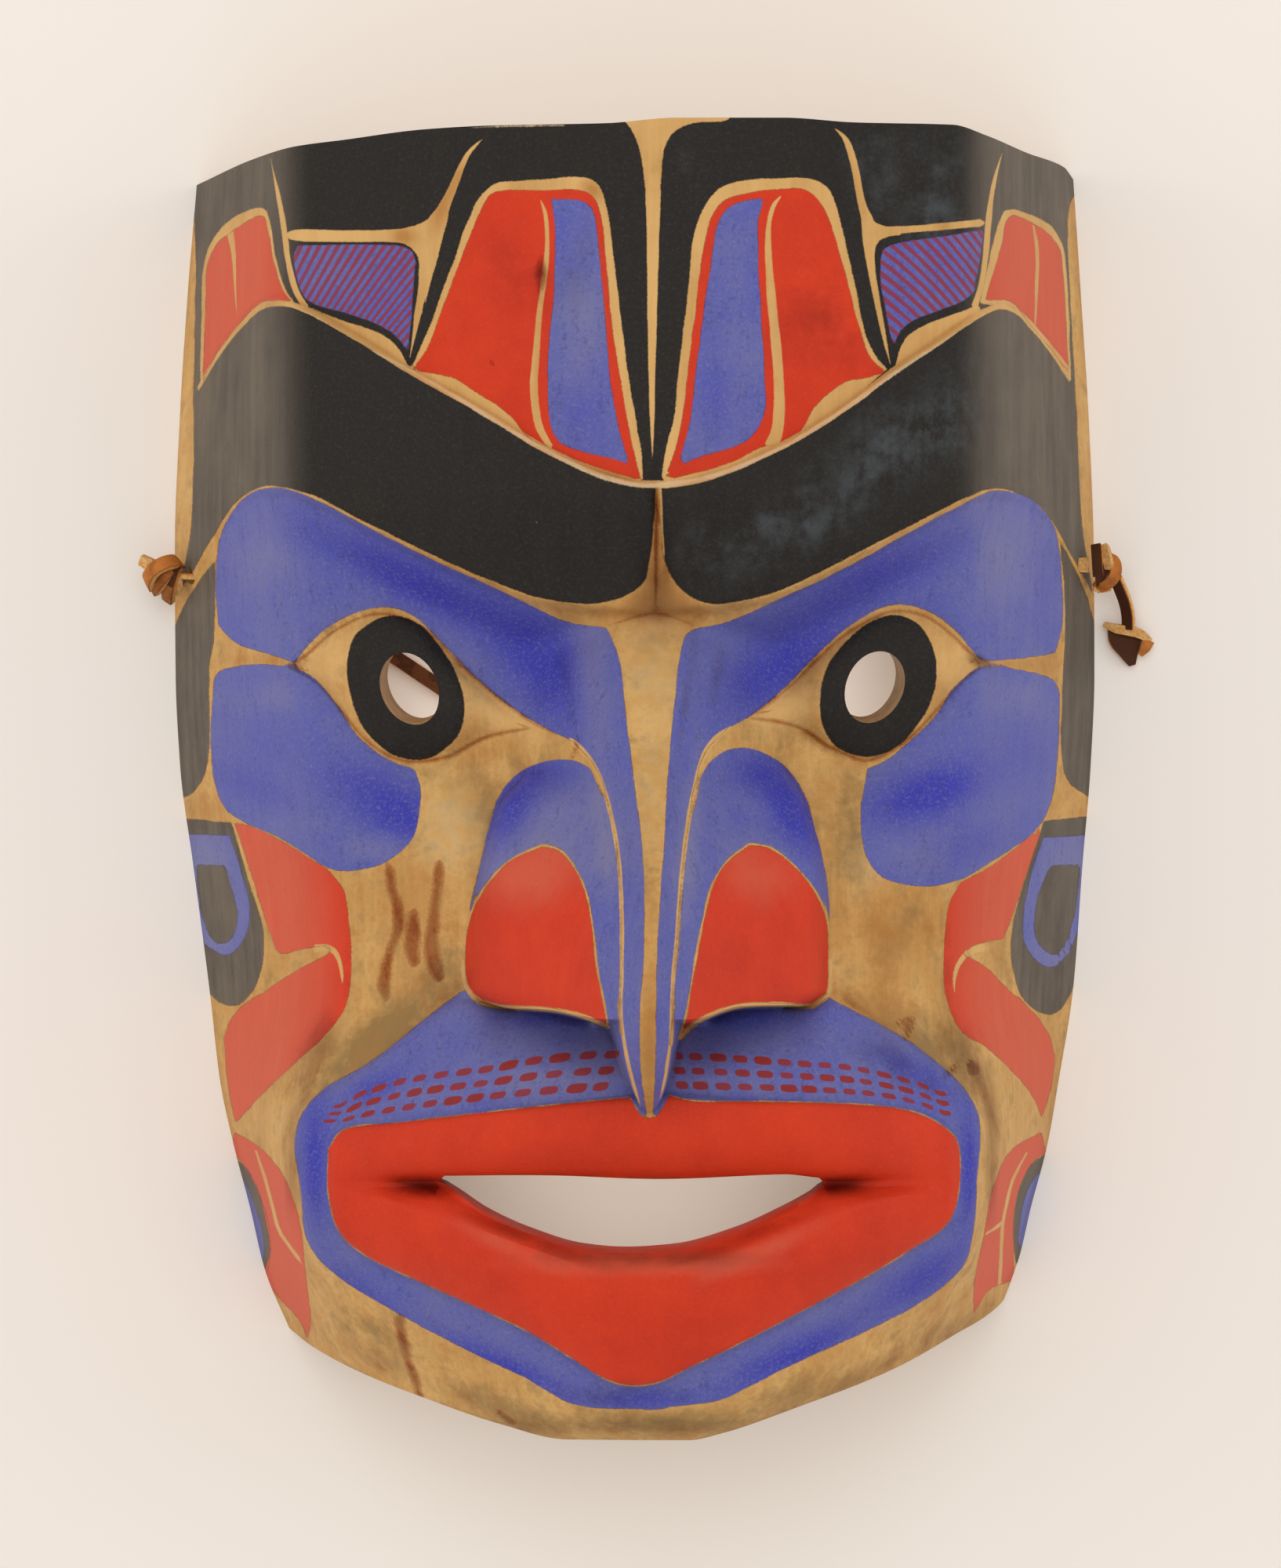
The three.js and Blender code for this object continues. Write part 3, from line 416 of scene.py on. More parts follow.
# Outlines of the paint, x and y dots. Each is a closed smooth line, with a corner at every dot
# that has a / before it.
OUTLINES = {
    "forehead and brows": """/236,140 /1384,140 1374,240 1364,262 1366,400 1372,500 1378,640 1384,700
        /1400,780 1396,763 1365,705 1335,655 1300,630 1267,623 1227,637 1156,673 1045,730 998,752 946,766
        907,770 871,754 850,720 847,679 /845,622 /837,622 833,679 829,712 821,742 793,762 746,770 687,762
        635,744 556,710 457,661 402,633 354,620 330,622 299,643 247,727 /222,764 240,700 247,600 247,500
        249,400 250,320 246,262""",
    "left U": """/526,468 537,440 543.5,426 555.5,397 565,369 576,340 585,315 590.5,297 599,279 606,260
        614,249 629,236 640,232 680,230 745,226 760,232 770,250 778,290 785,350 795,430 803,490 812,540
        818,580 /821,616 790,612 754,599 694,572 615,525 /522,472""",
    "left U red": """/523,471 530,465 538.5,454 546.5,440 552,426 563,397 573.5,369 584.5,340 594,315
        601.5,297 609,279 617,260 626,248 642,243 690,243 740,243 757,251 766,275 773,330 779,400 784,440
        791,480 801,540 814,598 /820,614 800,608 760,596 720,580 690,566 /683,565 670,554 654,534 635,517
        608,501 577,482 542,475""",
    "left U blue": """/703,254 745,257 756,268 762,300 768,360 773,420 778,480 788,540 /803,593 790,588
        750,578 715,565 703,545 699,500 700,440 706,380 708,320 707,280""",
    "right U": """/843,616 850,570 860,530 865,480 872,420 878,370 882,320 888,290 900,262 915,243 940,232
        1000,227 1040,230 1056,240 1066,262 1078,310 1092,370 1105,430 1118,455 /1132,471 1077,517 998,567
        919,602 880,612""",
    "right U red": """/848,612 862,570 872,520 880,450 888,390 895,330 901,300 910,272 925,255 960,245
        1000,241 1025,242 1041,252 1055,275 1070,320 1085,375 1097,420 1110,455 /1131,475 1110,481 1085,485
        1062,498 1040,518 1025,545 1013,560 /998,568 975,569 935,589 900,600 870,607""",
    "right U blue": """/975,253 945,257 926,268 914,290 908,330 900,380 892,440 886,490 880,540 870,575
        /863,598 885,586 930,572 955,560 970,540 976,520 975,470 972,420 969,370 967,320 967,280""",
    "left side form": """/255,494 257,400 261,332 272,305 300,276 335,265 343,277 352,330 363,366 /377,388
        350,387 330,393 300,425 275,460""",
    "left side red": """/259,487 262,400 265,337 276,312 292,298 312,284 330,275 337,277 343,300 351,340
        361,370 /372,385 350,383 330,388 300,420 275,454""",
    "right side form": """/1250,386 1262,330 1274,285 1284,268 1310,272 1340,288 1354,310 1361,350 /1366,490
        1330,437 1310,415 1290,392 1262,389""",
    "right side red": """/1257,383 1268,345 1279,305 1284,281 1292,275 1312,282 1336,297 1350,314 1356,350
        1360,410 /1363,476 1345,451 1328,430 1310,409 1290,385""",
    "left hatching": """/380,313 440,312 /505,312 525,320 /531,337 /529.5,337 526.5,380 /521,450 507,431
        491,419 474,411 440,399 407,390 /388,381 382,366 376,342 374,325""",
    "right hatching": """/1123,332 1129,317 1160,307 1200,302 /1256,292 1250,330 /1243,372 1228,384 1203,394
        1171,406 1151,419 /1139,444 1130,400 1123,360""",
    "left sliver": "/384,387 391,390 413,400 442,411 470,419 491,429 507,443 517,460 /523,472 457,430",
    "right sliver": """/1141,474 1146,450 1156,431 1168,421 1181,414 1207,404 1233,395 /1248,388 1251,400
        1195,437""",
    "left fork": """/485,293 512,292 535,286 550,276 562,262 /574,243 572,272 561,318 549,362 /538,402
        535,350 534,329 523,315 505,308 /485,308""",
    "right fork": """/1097,255 1107,274 1117,285 1132,289 /1150,289 /1150,299 1138,301 1122,306 1116,317
        /1114,345 1106,300""",
    "stripe flare": """/776,140 800,157 814,185 822,230 /824,270 /842,270 843,230 848,188 861,167 885,157
        930,152 /930,138""",
    "left socket": """/279,797 275,740 283,679 308,638 330,625 354,622 402,637 457,666 556,716 620,745
        674,771 722,793 /774,801 789,837 797,900 810,1007 819,1079 822,1150 821,1221 816,1293 817,1364
        /825,1424 813,1396 798,1346 792,1293 793,1239 793,1168 789,1096 778,1032 760,979 /731,946 675,917
        615,872 568,825 528,786 489,774 437,789 398,817 /376,845 339,833 299,819""",
    "right socket": """/883,803 930,793 990,766 1045,741 1100,713 1156,681 1227,644 1267,626 1300,630
        1322,642 1342,666 1351,700 1355,750 1355,797 /1346,833 1300,840 /1251,843 1215,801 1176,776 1136,772
        1093,792 1045,832 998,880 958,912 /928,929 899,961 887,1000 876,1061 869,1121 864,1186 858,1257
        855,1329 847,1382 /833,1424 836,1364 837,1293 838,1221 842,1150 847,1079 851,1007 860,900
        874,811""",
    "left wing blue": """/594,1190 603,1140 610,1114 624,1054 639,1011 667,982 703,970 731,970 /753,980
        774,1034 785,1098 789,1168 789,1239 788,1293 795,1346 807,1394 /820,1424 806,1402 789,1358 776,1312
        764,1280 740,1200 660,1180""",
    "right wing blue": """/1058,1193 1058,1157 1053,1114 1039,1054 1028,1018 1003,979 971,959 939,954
        910,968 /894,990 880,1061 873,1121 868,1186 862,1257 859,1329 851,1384 /838,1424 853,1397 869,1330
        880,1290 895,1220 980,1180""",
    "left cheek blue": """/272,880 276,860 300,850 340,848 /374,851 400,864 430,899 457,939 497,970 /529,981
        536,1004 536,1028 527,1068 491,1100 450,1111 421,1108 363,1072 290,1034 274,1000 269,940""",
    "right cheek blue": """/1247,851 1290,853 1325,860 1345,868 /1352,885 1351,916 1348,980 1339,1028
        1320,1060 1275,1092 1224,1122 1183,1130 1148,1127 1119,1114 1103,1085 1098,1037 /1107,981 1130,970
        1156,950 1195,911 1215,879""",
    "left side strip": """/222,800 240,764 258,736 /275,714 274,760 272,820 267,850 267,900 266,960 260,990
        243,1014 /230,1018 200,960""",
    "right side strip": """/1398,800 1383,752 1366,716 /1352,690 1357,740 1359,800 1357,850 1355,900
        1354,960 1362,996 /1390,1017 1410,960""",
    "left side U": """/236,1044 /296,1050 312,1108 335,1184 335,1229 322,1264 300,1283 281,1279 /262,1262
        240,1180""",
    "left side U blue": "/236,1064 /293,1065 306,1108 319,1159 312,1197 290,1218 /262,1206 240,1150",
    "left side U heart": "/250,1103 /287,1104 297,1140 303,1171 296,1196 280,1204 /266,1192 256,1160",
    "right side U": """/1332,1047 /1396,1040 1390,1180 /1366,1266 1352,1288 1336,1294 1307,1277 1291,1229
        1291,1187 1307,1123""",
    "right side U blue": """/1331,1068 /1396,1065 1384,1160 /1364,1216 1345,1233 1326,1229 1307,1203
        1305,1171 1313,1123""",
    "right side U heart": """/1341,1104 /1378,1102 1372,1160 /1360,1202 1346,1218 1332,1212 1320,1192
        1320,1165 1328,1130""",
    "left cheek red": """/298,1047 340,1063 380,1085 /418,1109 437,1133 446,1187 448,1235 440,1286 411,1324
        373,1359 332,1398 /300,1433 290,1380 /285,1324 300,1292 /348,1256 /354,1216 338,1171 316,1101""",
    "left cheek wedge": "/335,1216 357,1217 390,1210 /424,1204 /419,1217 395,1229 348,1257 330,1270",
    "right cheek red": """/1331,1052 1275,1098 1240,1118 /1224,1127 1211,1152 1205,1203 1204,1251 1211,1286
        1227,1318 1256,1334 1291,1366 1317,1398 /1329,1426 1341,1385 1345,1347 1340,1325 /1332,1308
        1301,1273 /1288,1262 /1281,1197 1301,1139""",
    "right cheek wedge": """/1300,1197 1281,1198 1243,1206 /1227,1218 /1240,1222 1259,1235 1301,1274
        1315,1274""",
    "left low red": """/300,1444 334,1466 362,1501 384,1566 388,1612 396,1684 /392,1712 384,1687 355,1655
        /334,1628 344,1600 340,1560 325,1510 309,1484 /294,1470""",
    "left low black": "296,1480 312,1486 327,1512 342,1560 345,1600 336,1630 316,1610 290,1530",
    "left low blue": "296,1496 308,1502 322,1530 335,1575 335,1606 318,1600 296,1540",
    "right low red": """/1328,1444 1290,1467 1266,1518 1254,1578 1243,1637 /1241,1677 1262,1645 /1293,1634
        1293,1600 1294,1545 1304,1506 1318,1482 /1334,1470""",
    "right low black": "1336,1474 1318,1483 1303,1508 1294,1545 1293,1585 1298,1612 1316,1590 1340,1520",
    "right low blue": "1336,1492 1322,1500 1310,1520 1302,1552 1301,1590 1314,1580 1336,1520",
    "left nostril": """/692,1079 649,1100 617,1136 599,1175 594,1221 596,1254 610,1275 639,1282 703,1286
        739,1293 /774,1308 770,1284 760,1232 755,1186 746,1138 731,1106 714,1086""",
    "right nostril": """/956,1078 928,1100 910,1129 899,1171 889,1221 883,1257 877,1293 /869,1322 881,1307
        910,1291 946,1280 989,1279 1039,1280 1053,1268 1056,1221 1055,1179 1042,1143 1014,1107 981,1082""",
    "moustache": """/593,1261 539,1302 475,1353 411,1391 386,1420 376,1452 384,1523 391,1580 416,1616
        509,1676 601,1725 673,1759 726,1789 762,1796 800,1797 840,1798 859,1794 918,1786 958,1767 1025,1734
        1108,1696 1175,1661 1227,1617 1239,1586 1247,1499 1250,1440 1243,1410 1218,1375 1148,1321 /1056,1272
        1041,1284 989,1284 946,1286 910,1296 881,1312 866,1330 830,1340 778,1313 739,1298 703,1290 639,1286
        608,1279""",
    "lips": """/419,1466 419,1523 434,1573 466,1601 530,1632 601,1664 673,1698 726,1730 773,1759 803,1767
        839,1763 879,1744 938,1716 1017,1675 1096,1633 1156,1597 1207,1562 1221,1530 1222,1459 1211,1443
        1179,1423 1132,1412 1020,1406 953,1405 881,1404 /853,1397 836,1424 820,1424 /803,1400 739,1406
        637,1417 509,1432 437,1442""",
    "beak stripe": "/816,1280 817,1364 /825,1426 /833,1426 836,1364 /837,1280",
    "left iris": """443,846 455,808 493,786 530,793 553,814 580,855 592,895 588,930 573,951 553,965 533,969
        500,962 466,931 448,890""",
    "right iris": """1046,895 1052,858 1074,824 1105,797 1141,784 1175,800 1194,844 1188,893 1165,931
        1138,956 1104,965 1070,955 1052,932""",
}


def both(*names):
    return [f"{side} {name}" for name in names for side in ("left", "right")]


# Which outlines each paint fills
PAINTED = {
    "black": ["forehead and brows", *both("side strip", "side U", "low black", "iris")],
    "bare": [*both("U", "side form", "sliver", "fork"), "stripe flare"],
    "red": [*both("U red", "side red", "cheek red", "low red", "nostril"), "lips"],
    "blue": [*both("U blue", "hatching", "socket", "wing blue", "cheek blue", "side U blue",
                   "low blue"), "moustache"],
    "hatched": both("hatching"),
}

# What is left out of an outline: other outlines, by how many dots more
LEFT_OUT = {
    "moustache": (("lips", 1), ("beak stripe", 0)),
    **{outer: ((inner, more),) for names, more in (
        (("cheek red", "cheek wedge"), 0), (("side U blue", "side U heart"), 0),
        (("wing blue", "nostril"), 3)) for outer, inner in zip(*map(both, names))},
}

# Lines of bare wood, in dots: x, y and half the width. Lines of one group keep apart.
BARE_LINES = {
    "forehead lines": (
        "833,240,10 833,300,8 832,400,6 832,500,4 832,560,1.6 832,600,0",
        "840,614,3.4 840,640,4.4 839.5,665,5.8 839,690,7.6 839,708,8.4 839,724,7 839,740,0",
        """689,254,0.3 695,270,2 698,300,2.6 697,330,3.2 692,370,3.6 688,400,3.8 684,450,4.2 681,490,5
            683,520,5 688,545,4.6 697,562,4 704,572,3""",
        """997,249,0.3 987,262,2.5 981,285,3 980,320,4 984,380,5.6 989,430,6 993,480,6.6 994,520,6.8
            991,550,7.5 984,570,9""",
        """616,177,0 606,186,1.7 597,196,2.6 588,214,3.7 580.5,233,4.6 572.5,251,6 564,269,8 556,284,11
            549,306,12 545,328,10 543.5,342,8.4 539,369,5.7 533.5,397,4.3 528.5,426,2.5 522.5,458,0""",
        """1064,163,0 1072,170,1.8 1079.5,179,3.2 1084.5,192,4 1089,208,4.4 1093,227,4.6 1096.5,247,4.7
            1101,266,5.4 1106,280,7.4 1108.5,302,8.5 1109.5,326,5.8 1113,352,4.6 1122,400,3.5 1130,440,2
            1136,466,0""",
        "345,202,0 355,250,2.4 362,290,3.6 368,335,3.4 377,370,3.8 392,396,4",
        "1279,194,0 1271,220,2 1264,255,3 1260,292,4 1257,330,3.6 1251,366,3.6 1243,392,4",
    ),
    "brow lines": (
        "366,300,4 378,300,7 430,301,7.4 480,301,7.4 525,300,9 552,296,9",
        "1106,288,9.5 1116,292,7.4 1129,294,5.4 1155,293,4.3 1200,289,4.3 1254,284,4.6",
        """250,500,2 275,458,2.2 300,424,2.4 333,392,3 362,387,3.6 390,395,4 457,431,4.5 524,473,4.5
            615,524,4.5 694,572,4.5 754,600,4.5 793,613,4.5 837,618,5 880,614,4.5 919,603,4.5 998,568,4.5
            1077,520,4.5 1140,473,4.5 1195,437,4.5 1251,400,4 1276,391,3.4 1298,398,3 1330,430,2.4
            1366,474,2""",
    ),
    "face lines": (
        """726,942,3.6 745,959,3.2 762,985,2.8 778,1034,2.6 789,1096,2.6 793,1168,2.6 793,1239,2.4
            792,1293,2.2 799,1346,2.2 812,1396,1.6 818,1414,0""",
        """934,926,1 914,941,3.6 899,961,3.4 887,1000,3 876,1061,2.8 869,1121,2.6 864,1186,2.6 858,1257,2.4
            855,1329,2.2 847,1382,1.8 841,1404,0""",
        "293,292,4.6 295,304,4 298,325,2.4 300,365,1.2 302,404,0",
        "1318,286,1.4 1323,320,2.2 1322,370,1.8 1320,425,0",
        "326,1467,1 337,1500,1.8 348,1541,2 356,1569,2.2 368,1588,2 386,1612,2",
        "1310,1470,1 1292,1505,1.8 1283,1540,2 1279,1562,2 1277,1600,2 1275,1640,2",
    ),
    "edge lines": (
        "590,1222,2 594,1256,3 610,1277,3.2 639,1284,3 703,1288,3 739,1295,3 778,1311,2.4",
        "866,1326,2.4 881,1310,3 910,1293,3 946,1283,3 989,1281,3 1041,1282,3.2 1056,1268,3 1059,1222,2",
        "400,1210,5 417,1209,4 427,1214,3.4 433,1226,2.6 436,1242,2 437,1258,0",
        "1256,1208,5 1239,1213,4.4 1228,1222,3.4 1220,1236,2.8 1217,1250,2 1218,1268,0",
        "1256,1575,1 1270,1566,2 1282,1556,1.6",
    ),
}

# Run-down brown stains
STAINS = (
    "493,1098,0 497,1110,6 500,1135,5 508,1160,6 507,1185,6 499,1210,5 492,1238,7 490,1258,8 494,1277,3",
    "561,1098,2 560,1110,6 557,1140,6 553,1175,7 550,1205,9 555,1232,9 561,1250,7",
    "527,1160,4 528,1185,9 526,1212,9 530,1232,5",
    "509,1676,7 512,1700,5.5 520,1735,4.5 530,1762,5 536,1784,4",
    "634,1798,1.5 645,1807,2.5 658,1817,1.5",
    "1128,1310,0 1146,1304,2 1164,1301,3 1160,1314,3 1150,1329,2",
    "1196,1378,0 1210,1368,5 1224,1358,5",
    "1236,1352,6 1240,1364,8 1250,1368,2",
    "738,936,1.5 733,956,2 727,972,1",
    "690,322,0 690,350,6 688,384,0",
)

# Brown lines in the knife cuts: along the lids, in the parting of the brows, across the root of the beak,
# at the mouth corners, and one short mark on the forehead. The lines at the mouth corners are painted shade
# in their recesses.
CREASES_AND_SHADE = (
    """366,850,1.5 390,836,2.4 414,814,2.2 440,797,2 466,786,2 490,783,2 520,791,2.4 546,806,2.6 572,832,2.4
        598,858,2.4 638,892,2.2 682,923,1.6 712,938,0""",
    """366,850,2 395,864,1.6 425,893,2 446,921,2.4 468,945,2.6 494,963,2.4 520,971,2.4 546,970,2.8
        574,964,3.2 598,951,2.8 620,940,2.5 645,934,2.2 668,930,1.8 684,927,0""",
    """1262,846,1.5 1240,834,2.2 1216,811,2.2 1190,791,2 1164,781,2 1136,780,2 1106,793,2.4 1076,811,2.6
        1047,836,2.4 1014,869,2.2 978,899,1.6 952,917,0""",
    """1262,846,2 1238,860,1.6 1213,885,2 1190,911,2.4 1165,937,2.6 1138,957,2.4 1104,970,2.4 1080,962,2.8
        1052,949,2.8 1026,931,2.6 1000,922,2.2 975,918,1.8 957,916,0""",
    "838,622,3 838,650,4 837,690,4.4 837,725,4 837,755,3.4 837,781,0",
    "776,798,0 800,790,1.4 836,782,2 864,789,1.4 886,798,0",
    "506,1509,0 532,1511,4 558,1515,9",
    "1112,1508,0 1082,1510,4 1054,1513,9",
    "624,459,2 630,467,2",
)

# Worn lines on the edges and small chips. The line along the top of the brows is also a painted highlight
# on the ledge.
WORN_EDGES_AND_HIGHLIGHT = (
    """470,445,0 519,470,1.6 558,492,2.2 596,515,2.6 635,539,2.6 674,562,2.6 713,583,2.6 751,601,3
        790,614,3.2 821,619,3.4 850,618,3.4 880,614,3 910,607,2.8 955,590,2.6 1000,569,2.4 1045,543,2.4
        1090,513,2.4 1135,480,2.2 1180,450,1.6 1230,417,0""",
    "600,163,0 640,161,0.9 700,160,0.9 724,160,0",
    "711,286,2.2 714,289,2.2",
    "684,664,1.6 686,667,1.6",
    "548,833,1.2 550,835,1.2",
)

# Soft patches in a finish: x, y, half length, half width, lean in degrees, strength
PATCHES = {
    # Deeper, darker blue in the sockets, under the brows, below the cheeks and under the wings: partly less
    # worn paint, partly painted shade
    "deep blue and painted shade": """540,745,190,36,26,0.85 690,850,90,46,58,0.9 500,1030,95,40,30,0.9 330,950,60,50,0,0.35
        320,1005,60,24,20,0.6 655,1025,60,28,-64,0.75 700,985,40,20,0,0.5 1010,1035,70,30,62,1
        965,985,40,24,0,0.6 1000,845,100,44,-40,0.9 1120,735,110,34,-26,0.7 1190,1010,90,36,-20,0.9
        1240,1080,60,30,-20,0.5 1310,960,40,50,0,0.35 400,1480,24,90,0,0.9 450,1650,70,22,30,0.8
        640,1745,100,20,24,0.9 817,1785,60,14,0,0.7 1010,1730,100,20,-26,0.9 1180,1630,70,24,-30,0.9
        1238,1500,16,90,0,0.9 480,1385,50,18,-28,0.6 1170,1370,60,18,28,0.6 690,1300,70,14,0,0.5
        960,1300,70,14,0,0.5 745,520,30,60,0,0.4 915,500,30,60,0,0.4""",
    # Painted shade with some grime: the mouth corners and lip recesses, the chin's underside, under the
    # wings and at the brows' parting
    "painted shade and grime": """1247,843,14,7,20,1 384,845,12,6,-20,0.5 540,1515,34,11,6,1 1072,1514,34,11,-6,1
        810,1603,120,9,0,0.48 838,690,9,90,0,0.54 838,745,22,40,0,0.6 838,782,54,14,0,0.6
        832,812,46,20,0,0.35 874,900,7,90,8,0.3 386,1400,9,60,22,0.42 372,1480,9,80,0,0.42
        1258,1400,9,60,-22,0.42 1265,1480,9,80,0,0.42 670,1578,80,7,20,0.42 950,1578,80,7,-22,0.42
        817,1822,260,12,0,0.42 560,1770,120,12,22,0.24 1090,1760,140,14,-26,0.42 1230,1690,60,14,-34,0.36
        408,1340,22,50,30,0.7 1228,1345,20,50,-30,0.42 690,352,9,22,0,0.36 640,345,90,60,20,0.15
        1050,400,60,80,0,0.34 740,330,20,60,8,0.18 480,1730,50,12,30,0.24 448,1240,12,60,0,0.3
        1206,1240,10,60,0,0.3 690,860,40,60,40,0.12 728,900,8,70,-10,0.21 1150,1360,80,30,30,0.3
        817,1778,120,20,0,0.3 817,1612,130,14,0,0.3 915,860,10,50,10,0.24 575,1265,40,14,-40,0.3
        1085,1275,40,14,40,0.3""",
    # Greenish grey weathered wood; the patches along the bottom of the chin and at the root of the beak are
    # painted shade
    "weathered and shaded": """480,1330,110,34,-38,1 420,1400,60,24,-50,0.9 560,1240,60,26,-60,0.7
        620,1060,50,90,0,0.35 585,1010,60,50,0,0.5 700,930,50,20,10,0.4 1090,1060,30,90,0,0.7
        1170,1330,90,40,34,0.9 1130,1200,60,40,0,0.4 1010,935,60,24,10,0.6 1230,1240,20,80,0,0.4
        480,1700,80,24,30,0.6 640,1790,80,20,20,0.6 1000,1780,90,22,-22,0.6 1160,1710,60,20,-30,0.5
        830,960,24,110,0,0.55 832,840,40,50,0,0.5 838,768,50,16,0,0.8 817,1812,200,16,0,0.7
        1230,1420,22,60,0,0.4 690,780,60,10,16,0.3""",
    "ochre": """515,302,16,14,0,1 563,266,12,34,18,0.9 583,228,10,26,22,0.8 1202,288,12,10,0,0.6
        757,242,16,14,40,1 1092,240,10,50,-12,0.5 829,1330,12,90,0,0.9 830,1190,14,70,0,0.35
        838,700,12,60,0,0.9 812,770,34,22,-20,0.8 775,604,60,8,18,0.9 690,460,12,120,0,0.4
        862,768,34,22,20,0.7 835,786,60,10,0,0.7 530,1185,60,80,0,0.55 1140,1180,60,70,0,0.6
        1120,1290,40,40,0,0.6 330,842,60,12,0,0.5 1300,848,60,12,0,0.5 270,1030,40,20,0,0.5
        620,960,50,14,-20,0.5""",
    "bleached": """833,860,44,90,0,0.6 832,1010,22,90,0,0.5 575,1050,40,60,0,0.7 690,800,70,10,18,0.5
        960,795,60,10,-18,0.5 1110,1100,40,40,0,0.5""",
    "pale wood": """410,846,34,30,0,1 640,905,60,26,32,1 490,810,60,18,-10,0.6 1215,848,36,34,0,1
        1000,905,50,24,-30,1 1150,800,50,18,20,0.6 835,850,48,60,0,0.4 310,1360,16,60,0,0.3
        350,1440,30,40,0,0.5 1300,1440,30,40,0,0.5 237,560,12,160,0,0.4 1387,560,12,160,0,0.4""",
    # A painted bluish sheen on the black of the right forehead and brows
    "painted_bluish_sheen": """1190,280,34,90,10,1 1120,220,40,60,0,0.5 1160,560,100,46,-28,1 1010,670,90,40,-26,0.8
        900,700,40,40,0,0.4 880,210,20,50,0,0.3 1230,500,30,60,0,0.5""",
    # Faded paint, and painted highlights on the tops of the nostril wings and the lower lip's inner edge;
    # on the side walls also painted sheen
    "faded_and_highlit": """745,430,26,120,0,0.45 935,430,26,120,0,0.3 700,1055,24,40,30,0.6 262,1110,40,70,0,0.9
        1362,1110,40,70,0,0.9 262,1200,40,26,0,0.8 1350,1220,40,26,0,0.8 672,1115,60,40,0,0.9
        970,1115,60,40,0,0.6 817,1612,130,14,0,0.9 650,1590,90,12,24,0.5 980,1592,90,12,-24,0.5
        760,880,26,90,-6,0.5 770,1060,16,110,-6,0.9 880,1060,14,110,6,0.9 720,1080,34,60,30,0.6
        925,1060,26,60,-30,0.5 640,1390,130,20,-8,0.4 960,1385,100,18,6,0.4 320,700,36,60,0,0.6
        345,890,60,24,0,0.5 1290,700,40,60,0,0.6 1300,890,40,24,0,0.5 1180,1090,60,30,0,0.5
        470,1085,60,20,0,0.5""",
}

BEAK_HALF = Line("1300,46 1340,36 1370,28 1400,17 1420,6")

# Rows of dashes: x dots of the upper row, and y dots of the upper and the lower row
DASHES = (
    {"at": (828, 780, 752, 713, 681, 648, 620, 592, 562, 535, 510, 483, 459, 434, 409),
     "first": -1.6, "last": 12.5, "lean": 7,
     "upper": Line("434,1411 459,1396 483,1388 510,1380 562,1371 620,1364 681,1353 752,1346 780,1345"),
     "lower": Line("434,1430 468,1421 520,1412 577,1404 635,1397 699,1391 780,1385")},
    {"at": (828, 864, 886, 917, 944, 973, 1001, 1026, 1052, 1078, 1101, 1128, 1153, 1178, 1199, 1222),
     "first": -1.6, "last": 13.5, "lean": -3,
     "upper": Line("864,1347 917,1349 973,1353 1026,1357 1078,1361 1128,1371 1178,1385 1199,1395"),
     "lower": Line("864,1384 930,1386 1001,1388 1078,1392 1128,1397 1178,1409 1205,1420")},
)


def smooth(points, steps=6, loop=False, along=2):
    """A smooth curve through points, finer between them. Its pace follows the distances in
    the first numbers of a point, as many as `along` says."""
    p = np.array(points, float)
    if len(p) == 2:
        return p
    if loop:
        p = np.vstack([p[-2:], p, p[:3]])
    far = np.linalg.norm(np.diff(p[:, :along], axis=0), axis=1)
    gap = np.sqrt(far)[:, None]
    rate = np.diff(p, axis=0) / gap
    lean = np.vstack([rate[:1], (rate[:-1] * gap[1:] + rate[1:] * gap[:-1])
                      / (gap[1:] + gap[:-1]), rate[-1:]])
    share = np.linspace(0, 1, steps, endpoint=False)[:, None]
    first, last = (2, len(p) - 3) if loop else (0, len(p) - 1)
    runs = [bend(share, gap[i], p, lean, i) for i in range(first, last)]
    return np.vstack(runs if loop else runs + [p[-1:]])


def closed(text):
    """The closed line of an outline."""
    points = table(text.replace("/", ""))
    corners = [k for k, dot in enumerate(text.split()) if dot[0] == "/"]
    if corners:
        ends, points = corners[1:] + [len(points)], points + points[:1]
        line = np.vstack([smooth(points[a:b + 1])[:-1] for a, b in zip(corners, ends)])
    else:
        line = smooth(points, loop=True)
    return np.vstack([line, line[:1]])


def near(x, y, line, reach):
    """Which spots lie within reach of a line's own box."""
    low, high = line[:, :2].min(0) - reach, line[:, :2].max(0) + reach
    return np.nonzero((x > low[0]) & (x < high[0]) & (y > low[1]) & (y < high[1]))[0]


def inside_by(x, y, name, reach=FILL_REACH):
    """How far outside an outline each spot lies, in dots, below 0 inside it."""
    line = closed(OUTLINES[name])
    out = np.full(len(x), reach)
    pick = near(x, y, line, reach)
    px, py = x[pick], y[pick]
    best = np.full(len(pick), reach**2)
    odd = np.zeros(len(pick), bool)
    for (ax, ay), (bx, by) in zip(line[:-1], line[1:]):
        dx, dy = bx - ax, by - ay
        length = dx * dx + dy * dy
        if length < 1e-9:
            continue
        t = np.clip(((px - ax) * dx + (py - ay) * dy) / length, 0, 1)
        best = np.minimum(best, (px - ax - t * dx) ** 2 + (py - ay - t * dy) ** 2)
        if ay != by:
            odd ^= ((ay > py) != (by > py)) & (px < ax + (py - ay) * dx / dy)
    out[pick] = np.sqrt(best) * np.where(odd, -1, 1)
    return out


